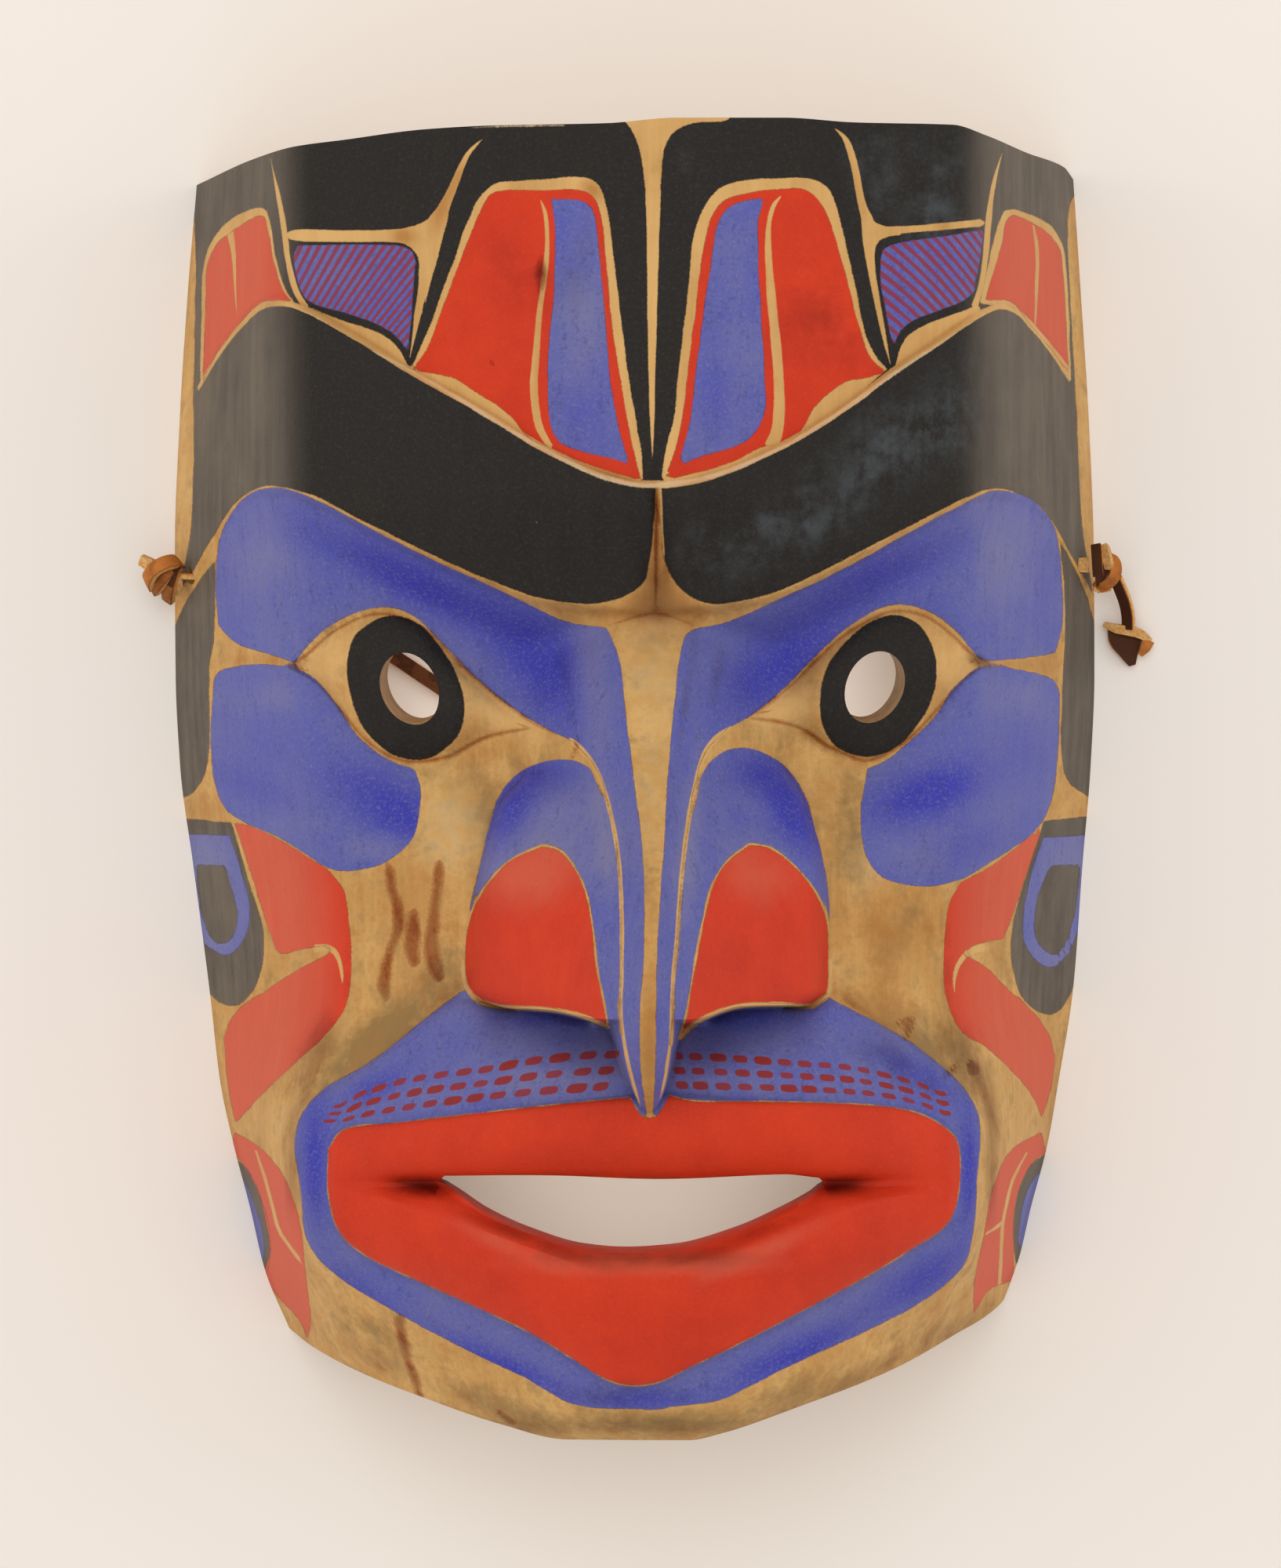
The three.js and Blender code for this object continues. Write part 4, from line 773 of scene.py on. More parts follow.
def fill_of(x, y, names):
    """The outlines of one paint together, less what is left out of them."""
    total = np.full(len(x), FILL_REACH)
    for name in names:
        field = inside_by(x, y, name)
        for other, more in LEFT_OUT.get(name, ()):
            field = np.maximum(field, more - inside_by(x, y, other))
        total = np.minimum(total, field)
    return total


def patches(x, y, text):
    """How strongly soft patches cover each spot, 0 to 1."""
    left = np.ones(len(x))
    for px, py, half_x, half_y, lean, strength in table(text):
        c, s = math.cos(math.radians(lean)), math.sin(math.radians(lean))
        u, v = (x - px) * c + (y - py) * s, (y - py) * c - (x - px) * s
        left *= 1 - strength * np.exp(-((u / half_x) ** 2 + (v / half_y) ** 2))
    return 1 - left


def strokes(x, y, lines, reach=STROKE_REACH):
    """For each spot the nearest stroke: how far to its side, and half its width there."""
    side, width, best = np.full(len(x), reach), np.full(len(x), -reach), np.full(len(x), reach)
    for text in lines:
        line = smooth(table(text))
        pick = near(x, y, line, reach)
        px, py = x[pick], y[pick]
        found = np.full(len(pick), reach)
        here = np.full(len(pick), reach)
        wide = np.full(len(pick), -reach)
        last = len(line) - 2
        for i in range(last + 1):
            (ax, ay, aw), (bx, by, bw) = line[i], line[i + 1]
            dx, dy = bx - ax, by - ay
            length = math.hypot(dx, dy)
            raw = ((px - ax) * dx + (py - ay) * dy) / length**2
            t = np.clip(raw, 0, 1)
            off = np.hypot(px - ax - t * dx, py - ay - t * dy)
            across = ((px - ax) * dy - (py - ay) * dx) / length
            beyond = np.where((i == 0) & (raw < 0), -raw, 0)
            beyond = beyond + np.where((i == last) & (raw > 1), raw - 1, 0)
            closer = off < found
            found = np.where(closer, off, found)
            here = np.where(closer, np.where(across < 0, -off, off), here)
            w = aw + (bw - aw) * t - 2 * length * beyond
            wide = np.where(closer, w, wide)
        wide = wide - 3 * np.maximum(found - np.maximum(wide, 0) - 7, 0)
        closer = found < best[pick]
        chosen = pick[closer]
        best[chosen], side[chosen], width[chosen] = found[closer], here[closer], wide[closer]
    return side, width


def ruled_grid(across, across_steps, down, down_steps):
    """Spots of the stencil where the lines ruled across and down it meet."""
    def ruling(steps):
        block = [0] + [b for b, count in enumerate(steps) for _ in range(count)]
        share = [0.0] + [k / count for count in steps for k in range(1, count + 1)]
        return np.array(block), np.array(share)

    (rows, r), (columns, c) = ruling(across_steps), ruling(down_steps)
    x = np.full((len(rows), len(columns)), PLUMB_LINE)
    y = np.linspace(*FIRST_GUESS, len(rows))[:, None] + 0 * x
    for _ in range(SETTLING_ROUNDS):
        for b in range(len(down_steps)):
            own, t = columns == b, c[columns == b]
            x[:, own] = (1 - t) * down[b](y[:, own]) + t * down[b + 1](y[:, own])
        for b in range(len(across_steps)):
            own, t = rows == b, r[rows == b][:, None]
            y[own] = (1 - t) * across[b](x[own]) + t * across[b + 1](x[own])
    return x, y


def with_end_walls(points, steps):
    """A grid of points with walls straight down from its first and last row to the rim."""
    first, last = np.repeat(points[:1], steps, 0), np.repeat(points[-1:], steps, 0)
    share = (np.arange(steps) / steps)[:, None]
    first[:, :, 2] *= share
    last[:, :, 2] *= share[::-1]
    return np.vstack([first, points, last])


def quads_of(rows, columns, start=0):
    at = start + np.arange(rows * columns).reshape(rows, columns)
    quads = np.stack([at[:-1, :-1], at[1:, :-1], at[1:, 1:], at[:-1, 1:]], axis=-1)
    return at, quads.reshape(-1, 4)


def stitch(outer, inner, along):
    """Triangles between two lines of points with their ends side by side."""
    fa = (along[outer] - along[outer[0]]) / (along[outer[-1]] - along[outer[0]])
    fb = (along[inner] - along[inner[0]]) / (along[inner[-1]] - along[inner[0]])
    faces, i, j = [], 0, 0
    while i < len(outer) - 1 or j < len(inner) - 1:
        if j == len(inner) - 1 or (i < len(outer) - 1 and fa[i + 1] <= fb[j + 1]):
            faces.append([outer[i], outer[i + 1], inner[j]])
            i += 1
        else:
            faces.append([outer[i], inner[j + 1], inner[j]])
            j += 1
    return faces


def new_mesh(name, points, faces):
    """A mesh from points in mm, with its doubled points joined."""
    keys = np.round(np.asarray(points) * 1e3).astype(np.int64)
    _, first, back = np.unique(keys, axis=0, return_index=True, return_inverse=True)
    back = back.ravel()
    kept, sources = [], []
    for number, face in enumerate(faces):
        loop = []
        for k in (int(back[v]) for v in face):
            if not loop or loop[-1] != k:
                loop.append(k)
        if len(loop) > 1 and loop[0] == loop[-1]:
            loop.pop()
        if len(loop) > 2 and len(set(loop)) == len(loop):
            kept.append(loop)
            sources.append(number)
    mesh = bpy.data.meshes.new(name)
    mesh.from_pydata((np.asarray(points)[first] * MM).tolist(), [], kept)
    return mesh, np.array(sources)


def piece_of(name, mesh):
    obj = bpy.data.objects.new(name, mesh)
    bpy.context.scene.collection.objects.link(obj)
    return obj


def shade(mesh, angle):
    """Smooth shading, with hard edges where the faces turn by more than the angle."""
    mesh.polygons.foreach_set("use_smooth", np.ones(len(mesh.polygons), bool))
    normals = np.empty(len(mesh.polygons) * 3, np.float32)
    mesh.polygons.foreach_get("normal", normals)
    normals = normals.reshape(-1, 3)
    edge = np.empty(len(mesh.loops), np.int32)
    mesh.loops.foreach_get("edge_index", edge)
    total = np.empty(len(mesh.polygons), np.int32)
    mesh.polygons.foreach_get("loop_total", total)
    face = np.repeat(np.arange(len(total)), total)
    order = np.argsort(edge, kind="stable")
    edge, face = edge[order], face[order]
    pair = np.nonzero(edge[1:] == edge[:-1])[0]
    turn = np.einsum("ij,ij->i", normals[face[pair]], normals[face[pair + 1]])
    hard = np.zeros(len(mesh.edges), bool)
    hard[edge[pair[turn < math.cos(math.radians(angle))]]] = True
    attribute = mesh.attributes.new("sharp_edge", "BOOLEAN", "EDGE")
    attribute.data.foreach_set("value", hard)


def prism(first, second):
    """A closed prism between two outlines with as many points."""
    n = len(first)
    faces = [[i, n + i, n + (i + 1) % n, (i + 1) % n] for i in range(n)]
    faces += [list(range(n)), list(range(2 * n - 1, n - 1, -1))]
    return np.vstack([first, second]), faces


def pupil_cut(eye, sides=48):
    cx, cy = eye["pupil"]
    surface = float(front(np.array([cx]), np.array([cy]))[0])
    middle = seen(np.array([cx]), np.array([cy]), np.array([surface]))[0]
    a = np.arange(sides) * 2 * math.pi / sides
    u, v = PUPIL[0] / 2 * np.cos(a), PUPIL[1] / 2 * np.sin(a)
    c, s = math.cos(-eye["tilt"]), math.sin(-eye["tilt"])

    def ring(z):
        drift = PUPIL_SPLAY * (surface - z) / WALL
        return np.stack([middle[0] + u * c - v * s + drift * eye["splay"][0],
                         middle[1] + u * s + v * c + drift * eye["splay"][1],
                         np.full(sides, z)], axis=1)

    return prism(ring(PUPIL_CUT[0]), ring(PUPIL_CUT[1]))


def mouth_cut(steps=60):
    x = np.linspace(*MOUTH_ENDS, steps + 1)
    lower = np.stack([x, ACROSS["mouth foot"](x)], 1)
    upper = np.stack([x, ACROSS["mouth top"](x)], 1)[1:-1][::-1]
    line = np.vstack([lower, upper])
    flat = seen(line[:, 0], line[:, 1], np.full(len(line), MOUTH_HEIGHT))
    high, low = flat.copy(), flat.copy()
    high[:, 2], low[:, 2] = MOUTH_CUT
    return prism(high, low)


def thong_cut(hole, sides=20, half=16):
    a = np.arange(sides) * 2 * math.pi / sides
    ring = np.stack([0 * a, THONG_HOLE * np.cos(a), THONG_HOLE * np.sin(a)], axis=1)
    return prism(ring + np.array(hole) + [half, 0, 0], ring + np.array(hole) - [half, 0, 0])


def carve():
    """The mask's mesh: front, end walls, rim and hollow in one closed body."""
    a, d = ACROSS, DOWN
    x, y = ruled_grid(
        [a["crown"], shifted(a["brow top"], -BROW_STEP), a["brow top"], a["brow foot"],
         shifted(a["brow foot"], BROW_FALL), a["muzzle top"], shifted(a["muzzle top"], 6),
         shifted(a["lip top"], -4), shifted(a["lip top"], 4), a["mouth top"], a["mouth foot"],
         a["lip ridge"], shifted(a["lip foot"], -4), shifted(a["lip foot"], 4), a["chin"],
         a["foot"]], FRONT_ROWS,
        [d["left rim"], d["left corner"], d["left wing"], d["left base"], d["left flank"],
         d["left ridge"], d["right ridge"], d["right flank"], d["right base"],
         d["right wing"], d["right corner"], d["right rim"]], FRONT_COLUMNS)
    z = front(x, y)
    z[:, 0] = z[:, -1] = 0
    outside = with_end_walls(seen(x, y, z), END_WALL_ROWS)
    side = WALL * RIM_DOTS
    hx, hy = ruled_grid(
        [shifted(a["crown"], END_WALLS[0]), shifted(a["foot"], -END_WALLS[1])], HOLLOW_ROWS,
        [shifted(d["left rim"], side), shifted(d["left corner"], side * 0.7),
         shifted(d["right corner"], -side * 0.7), shifted(d["right rim"], -side)],
        HOLLOW_COLUMNS)
    spared = BEHIND_EYES * past(hy, *SPARED_STARTS) * (1 - past(hy, *SPARED_ENDS))
    hz = np.maximum(shell(hx, hy, True) - spared, 0)
    hz[:, 0] = hz[:, -1] = 0
    inside = with_end_walls(seen(hx, hy, hz), END_WALL_ROWS)
    points = np.vstack([outside.reshape(-1, 3), inside.reshape(-1, 3)])
    o, front_quads = quads_of(*outside.shape[:2])
    i, back_quads = quads_of(*inside.shape[:2], start=o.size)
    rim = stitch(o[0], i[0], points[:, 0]) + stitch(o[:, -1], i[:, -1], points[:, 1])
    rim += stitch(o[-1, ::-1], i[-1, ::-1], points[:, 0])
    rim += stitch(o[::-1, 0], i[::-1, 0], points[:, 1])
    faces = front_quads.tolist() + back_quads[:, ::-1].tolist() + rim
    mesh, source = new_mesh("cedar mask", points, faces)
    row = source // (o.shape[1] - 1)
    painted = (source < len(front_quads)) & (row >= END_WALL_ROWS) & (row < o.shape[0] - 1 - END_WALL_ROWS)
    mesh.polygons.foreach_set("material_index", np.where(painted, 0, 1).astype(np.int32))
    return mesh


def pierce(obj):
    """Cuts the pupils, the mouth and the thong's two holes."""
    points, faces = np.zeros((0, 3)), []
    cuts = [mouth_cut()] + [pupil_cut(eye) for eye in EYES]
    cuts += [thong_cut(hole) for hole in (LEFT_HOLE, RIGHT_HOLE)]
    painted = len(cuts[0][1])
    for own_points, own_faces in cuts:
        faces += [[len(points) + k for k in face] for face in own_faces]
        points = np.vstack([points, own_points])
    mesh, _ = new_mesh("cuts", points, faces)
    for material in obj.data.materials:
        mesh.materials.append(material)
    bare = (np.arange(len(mesh.polygons)) >= painted).astype(np.int32)
    mesh.polygons.foreach_set("material_index", bare)
    tool = piece_of("cuts", mesh)
    cut = obj.modifiers.new("holes", "BOOLEAN")
    cut.object, cut.operation, cut.solver = tool, "DIFFERENCE", "EXACT"
    cut.material_mode = "INDEX"
    graph = bpy.context.evaluated_depsgraph_get()
    pierced = bpy.data.meshes.new_from_object(obj.evaluated_get(graph))
    obj.modifiers.clear()
    obj.data = pierced
    bpy.data.objects.remove(tool)


def store(mesh, name, values):
    attribute = mesh.attributes.new(name, "FLOAT", "POINT")
    attribute.data.foreach_set("value", np.asarray(values, np.float32))


def lay_out_paint(mesh):
    """Stores where each paint and each line lies, at every point of the mask's front."""
    points = np.empty(len(mesh.vertices) * 3, np.float32)
    mesh.vertices.foreach_get("co", points)
    points = points.reshape(-1, 3).astype(float) / MM
    total, slot = np.empty((2, len(mesh.polygons)), np.int32)
    corner = np.empty(len(mesh.loops), np.int32)
    mesh.polygons.foreach_get("loop_total", total)
    mesh.polygons.foreach_get("material_index", slot)
    mesh.loops.foreach_get("vertex_index", corner)
    used = np.zeros(len(points), bool)
    used[corner[np.repeat(slot, total) == 0]] = True
    x, y = (v[used] for v in spots(points))

    def keep(name, values, elsewhere=0.0):
        whole = np.full(len(points), elsewhere)
        whole[used] = values
        store(mesh, name, whole)

    for name, outlines in PAINTED.items():
        keep(name, fill_of(x, y, outlines), FILL_REACH)
    for name, lines in [*BARE_LINES.items(), ("stains", STAINS), ("creases and shade", CREASES_AND_SHADE),
                        ("worn edges and highlight", WORN_EDGES_AND_HIGHLIGHT)]:
        side, half = strokes(x, y, lines)
        keep(name + " side", np.abs(side) if name == "stains" else side, STROKE_REACH)
        keep(name + " half", half, -STROKE_REACH)
    left = x < PLUMB_LINE
    u, v, band = np.zeros((3, len(x)))
    for rows, own in zip(DASHES, (left, ~left)):
        sx, sy = x[own], y[own]
        top, foot = rows["upper"](sx), rows["lower"](sx)
        v[own] = 2 * (sy - top) / (foot - top)
        order = np.argsort(rows["at"])
        number = np.r_[rows["first"], np.arange(len(rows["at"]) - 1)][order]
        leaning = sx + rows["lean"] * np.clip(v[own], -1, 3)
        u[own] = np.interp(leaning, np.array(rows["at"])[order], number)
        band[own] = np.maximum(np.abs(v[own] - 1) - 1.5,
                               np.maximum(-0.5 - u[own], u[own] - rows["last"]))
        band[own] = np.maximum(band[own], (BEAK_HALF(sy) - np.abs(sx - PLUMB_LINE)) / 6)
    keep("dash along", u)
    keep("dash across", v)
    keep("dash band", band, OFF_THE_BAND)
    fan = 0.45 + 0.0022 * np.clip(x + 0.6 * (y - 300) - 385, 0, 200)
    off = x - 1125
    keep("hatch", np.where(left, (x + fan * (y - 300)) / HATCH_PITCH[0],
                           (y - 0.74 * off - 0.0024 * off**2) / HATCH_PITCH[1]))
    for name, text in PATCHES.items():
        keep(name, patches(x, y, text))
    # How hollow the carving is at each spot; the paint is darkened in the hollows by it, as painted shade
    step = HOLLOWNESS_STEP
    around = front(x + step, y) + front(x - step, y) + front(x, y + step) + front(x, y - step)
    keep("hollowness", np.clip((around - 4 * front(x, y)) / 6, -1, 1))
    rim, corner = by_side(x, "rim", y), by_side(x, "corner", y)
    # Greyer on the side walls: dust, and painted sheen where the walls turn away
    keep("dust_and_sheen", 1 - ease(((x - rim) / (corner - rim) - 0.6) / 0.6))


# Finishes


def paint_colour(red, green, blue):
    """A colour from its 0 to 255 values as it is seen."""
    return tuple(
        c / 12.92 if c <= 0.04045 else ((c + 0.055) / 1.055) ** 2.4
        for c in (red / 255, green / 255, blue / 255)
    )


def through(operation):
    """A way to put numbers through a Math node."""
    return lambda *numbers: numbers[0].graph.number(
        "ShaderNodeMath", dict(enumerate(numbers)), operation=operation)


class Value:
    """A number from a node. It takes part in plain sums, which add the nodes they need."""

    def __init__(self, graph, socket):
        self.graph, self.socket = graph, socket

    __add__, __sub__ = through("ADD"), through("SUBTRACT")
    __mul__, __truediv__, __pow__ = through("MULTIPLY"), through("DIVIDE"), through("POWER")
    __abs__, fraction, floor = through("ABSOLUTE"), through("FRACT"), through("FLOOR")
    or_more = through("MAXIMUM")

    def __rsub__(self, other):
        return self.graph.number("ShaderNodeMath", {0: other, 1: self}, operation="SUBTRACT")

    def span(self, low, high, to_low=0.0, to_high=1.0):
        """Maps the number from one span to another, held at its ends."""
        return self.graph.number("ShaderNodeMapRange", {
            "Value": self, "From Min": low, "From Max": high,
            "To Min": to_low, "To Max": to_high})


class Graph:
    """Short ways to add and join shader nodes."""

    def __init__(self, tree):
        self.tree = tree
        tree.nodes.clear()

    def add(self, kind, inputs=(), **settings):
        node = self.tree.nodes.new(kind)
        for key, value in settings.items():
            setattr(node, key, value)
        for key, value in dict(inputs).items():
            self.join(value, node.inputs[key])
        return node

    def join(self, value, socket):
        value = getattr(value, "socket", value)
        if isinstance(value, bpy.types.NodeSocket):
            self.tree.links.new(value, socket)
        elif socket.type == "RGBA":
            socket.default_value = (*value, 1)
        else:
            socket.default_value = value

    def number(self, kind, inputs=(), output=0, **settings):
        return Value(self, self.add(kind, inputs, **settings).outputs[output])

    def stored(self, name):
        return self.number("ShaderNodeAttribute", output="Fac", attribute_name=name)

    def noise(self, scale, detail, roughness, stretch=None):
        """Noise over the piece's own space, which may be drawn out along some directions."""
        place = self.add("ShaderNodeTexCoord").outputs["Object"]
        if stretch:
            place = self.add("ShaderNodeMapping", {"Vector": place, "Scale": stretch}).outputs[0]
        return self.number("ShaderNodeTexNoise", {
            "Vector": place, "Scale": scale, "Detail": detail, "Roughness": roughness}, "Fac")

    def mix(self, share, first, second, blend="MIX"):
        return self.add("ShaderNodeMix", {0: share, 6: first, 7: second},
                        data_type="RGBA", blend_type=blend).outputs[2]


def new_group(name, inputs, outputs):
    """A shader group, made once and shared by the materials."""
    tree = bpy.data.node_groups.new(name, "ShaderNodeTree")
    g = Graph(tree)
    for label, default in inputs.items():
        kind = COLOUR if np.ndim(default) else NUMBER
        socket = tree.interface.new_socket(label, in_out="INPUT", socket_type=kind)
        socket.default_value = default
    for label, kind in outputs.items():
        tree.interface.new_socket(label, in_out="OUTPUT", socket_type=kind)
    given = {socket.name: Value(g, socket) for socket in g.add("NodeGroupInput").outputs}
    return g, given, g.add("NodeGroupOutput").inputs


def cedar_grain():
    """Straight cedar grain along the mask's height, with grey weathering patches as strong as the
    Weathering input asks; in the painted cedar that input also carries painted shade under the chin and at
    the beak's root.
    """
    g, given, out = new_group(
        "Cedar grain",
        {"Light": (0.5, 0.3, 0.1, 1), "Dark": (0.3, 0.15, 0.05, 1),
         "Weathered": (0.25, 0.2, 0.12, 1), "Weathering": 0.5},
        {"Colour": COLOUR, "Height": NUMBER, "Roughness": NUMBER})
    fibres = g.noise(1000, 4, 0.65, (1, 0.04, 0.5))
    streaks = g.noise(120, 4, 0.6, (1, 0.12, 0.6))
    tones = g.noise(48, 6, 0.68, (1, 0.7, 1))
    fine = g.noise(420, 4, 0.7)
    tone = streaks * 0.5 + fibres * 0.35 + tones * 0.9
    body = g.mix(tone.span(0.72, 1.08), given["Light"], given["Dark"])
    reach = tones * 0.65 + fine * 0.35 + given["Weathering"] * 0.42
    g.join(g.mix(reach.span(0.6, 0.86) * 0.85, body, given["Weathered"]), out["Colour"])
    g.join(fibres + streaks * 0.6, out["Height"])
    g.join(tones.span(0.2, 0.8, 0.5, 0.68), out["Roughness"])
    return g.tree


def speckle():
    """Fine chalky light and dark specks of old paint."""
    g, given, out = new_group(
        "Speckle", {"Colour": (0.5, 0.5, 0.5, 1), "Light": (1, 1, 1, 1), "Dark": (0, 0, 0, 1),
                    "Amount": 0.3}, {"Colour": COLOUR})
    light = g.noise(1300, 3, 0.75).span(0.5, 0.72) * given["Amount"]
    dots = g.noise(520, 4, 0.65, (1, 0.16, 1)) * 0.4 + g.noise(900, 3, 0.8) * 0.6
    dark = dots.span(0.48, 0.34) * given["Amount"]
    body = g.mix(dark, given["Colour"], given["Dark"])
    g.join(g.mix(light, body, given["Light"]), out["Colour"])
    return g.tree


def placed_group(g, name, make, inputs):
    """A shared group in a material, with its own values. Gives its outputs by name."""
    tree = bpy.data.node_groups.get(name) or make()
    outputs = g.add("ShaderNodeGroup", inputs, node_tree=tree).outputs
    return {socket.name: Value(g, socket) for socket in outputs}


def grain_of(g, paints, weathering):
    return placed_group(g, "Cedar grain", cedar_grain, {
        "Light": paints.wood, "Dark": paints.wood_dark, "Weathered": paints.wood_grey,
        "Weathering": weathering})


def new_material(name):
    material = bpy.data.materials.new(name)
    material.use_nodes = True
    return material, Graph(material.node_tree)


def finish_material(g, colour, roughness, height, depth, strength, specular=0.5):
    """The last nodes of a material: bump, shader and output."""
    bump = g.add("ShaderNodeBump", {"Height": height, "Distance": depth, "Strength": strength})
    shader = g.add("ShaderNodeBsdfPrincipled", {
        "Base Color": colour, "Roughness": roughness, "Normal": bump.outputs[0],
        "Specular IOR Level": specular})
    g.add("ShaderNodeOutputMaterial", {"Surface": shader.outputs[0]})


def bare_cedar(paints):
    material, g = new_material("Bare cedar")
    grain = grain_of(g, paints, 0.5)
    finish_material(g, grain["Colour"], grain["Roughness"], grain["Height"], 0.0003, 0.6, 0.35)
    return material


def painted_cedar(paints):
    """Paint over carved cedar: fills, bare lines, dashes, hatching, stains and wear, with painted shade in
    the hollows, corners and under the chin, painted sheen on the black and the side walls, and painted
    highlights.
    """
    material, g = new_material("Painted cedar")
    wander = g.noise(170, 2, 0.5).span(0.3, 0.7, -0.6, 0.6)
    ragged = g.noise(1700, 2, 0.6).span(0.3, 0.7, -0.5, 0.5)
    edge = wander + ragged
    cloudy = g.noise(40, 5, 0.65)
    mottle = g.noise(150, 5, 0.7)
    chalk = g.noise(1100, 4, 0.75)
    brushed = g.noise(260, 5, 0.7, (1, 0.1, 1))
    hollowness, dust_and_sheen = g.stored("hollowness"), g.stored("dust_and_sheen")

    def patch(name, strength=1.0, edge_noise=0.7):
        soft = g.stored(name)
        rough = (mottle - 0.5) * edge_noise + (cloudy - 0.5) * 0.8
        return (soft + rough * soft.span(0, 0.25)).span(0.08, 0.85, 0, strength)

    def fill(name):
        return (g.stored(name) + edge).span(-0.75, 0.75, 1, 0)

    def off_line(name, share):
        return abs(g.stored(name + " side")) - g.stored(name + " half") + edge * share

    def from_middle(name, half):
        return (abs((g.stored(name) + 0.5).fraction() - 0.5) / half) ** 3

    def laid(colour, *coats):
        """A colour under coats, each with its share."""
        for share, coat in coats:
            colour = g.mix(share, colour, coat)
        return colour

    def stained(colour, share, *tint):
        return g.mix(share, colour, paint_colour(*tint), "MULTIPLY")

    def speckled(colour, light, dark, amount):
        return placed_group(g, "Speckle", speckle, {
            "Colour": colour, "Light": light, "Dark": dark, "Amount": amount})["Colour"]

    # Grey weathering of the wood, with painted shade under the chin and at the beak's root
    grain, ochre = grain_of(g, paints, g.stored("weathered and shaded")), patch("ochre", 0.75)
    wood = laid(
        grain["Colour"], (mottle.span(0.5, 0.72, 0, 0.6), paints.ochre),
        (mottle.span(0.5, 0.3, 0, 0.55), paints.wood_grey), (ochre, paints.ochre),
        (patch("bleached", 0.8), g.mix(mottle.span(0.35, 0.6), paints.wood_bleached, paints.wood)),
        (patch("pale wood", 0.5, 0.4), paints.pale_edge))
    pale = laid(grain["Colour"], (cloudy.span(0.35, 0.65, 0.15, 0.55), paints.pale_edge),
                (ochre, paints.ochre))
    blue = laid(paints.blue_mid, (cloudy.span(0.35, 0.7), paints.blue_chalky),
                # Deeper blue in the hollows and under the brows and wings, partly painted shade
                (patch("deep blue and painted shade", 1, 0.3), paints.blue),
                # The faded blue is also a painted highlight on the wings
                (patch("faded_and_highlit", 0.6), paints.blue_faded_and_highlit), (dust_and_sheen * 0.18, paints.blue_dust_and_sheen))
    blue = speckled(blue, paints.blue_faded_and_highlit, paints.blue_dark, 0.5)
    # Red faded on the side walls and in patches: worn paint, with painted sheen and painted highlights
    faded_and_highlit = (dust_and_sheen * brushed.span(0.3, 0.7, 0.5, 0.9)).or_more(patch("faded_and_highlit", 0.55))
    red = laid(paints.red, (cloudy.span(0.35, 0.7, 0, 0.8), paints.red_deep),
               (faded_and_highlit, paints.red_faded_and_highlit))
    red = speckled(red, paints.red_faded_and_highlit, paints.red_dark, 0.12)
    scuffed = mottle * 0.75 + brushed * 0.25
    streaks = brushed * 0.6 + cloudy * 0.4
    black = laid(paints.black, (brushed.span(0.35, 0.75, 0, 0.35), paints.black_worn),
                 # A painted bluish sheen on the black
                 (patch("painted_bluish_sheen", 0.62) * scuffed.span(0.4, 0.62), paints.black_painted_bluish_sheen),
                 # Dust and painted sheen on the side walls
                 (dust_and_sheen * streaks.span(0.4, 0.6, 0.52, 1), paints.black_dust_and_sheen))
    black = speckled(black, paints.black_dust_and_sheen, paints.black, 0.12)
    masks = {name: fill(name) for name in PAINTED}
    stroke = (abs(g.stored("hatch").fraction() - 0.5) + edge * 0.035
              + mottle.span(0.3, 0.7, -0.06, 0.06))
    hatching = stroke.span(0.21, 0.3, 0, 0.85) * masks["hatched"]
    cell = g.add("ShaderNodeCombineXYZ", {
        "X": (g.stored("dash along") + 0.5).floor(),
        "Y": (g.stored("dash across") + 0.5).floor()}).outputs[0]
    chance = g.number("ShaderNodeTexWhiteNoise", {"Vector": cell}, "Value")
    shape = from_middle("dash along", 0.35) + from_middle("dash across", 0.27)
    shape = shape * chance.span(0, 1, 0.65, 1.7) + edge * 0.25
    dash = (shape.span(0.8, 1.25, 1, 0) * g.stored("dash band").span(-0.03, 0.03, 1, 0)
            * chance.span(0, 1, 0.98, 0.86) * masks["blue"])
    bared = reduce(Value.or_more, [off_line(name, 0.6).span(-0.7, 0.7, 1, 0)
                                   for name in BARE_LINES])
    colour = laid(wood, (masks["black"], black), (masks["bare"], pale), (masks["red"], red),
                  (masks["blue"], blue), (hatching, paints.maroon), (dash, paints.oxblood),
                  (bared, pale))
    coats = [masks[name] for name in ("black", "red", "blue")]
    rims = reduce(Value.or_more, [coat * (1 - coat) for coat in coats])
    colour = stained(colour, rims * mottle.span(0.35, 0.6, 0.5, 2.4), 120, 96, 70)
    # Brown in the knife cuts, and painted shade at the mouth corners and in the carving's hollows
    crease_and_shade = off_line("creases and shade", 1.5).span(-3.2, 2, 0.95, 0)
    crease_and_shade = crease_and_shade.or_more(hollowness.span(0.2, 1, 0, 0.26))
    colour = stained(colour, crease_and_shade, 192, 138, 90)
    # Painted shade in the recesses and under the chin, with some grime
    colour = stained(colour, patch("painted shade and grime", 0.85, 0.7), 140, 112, 94)
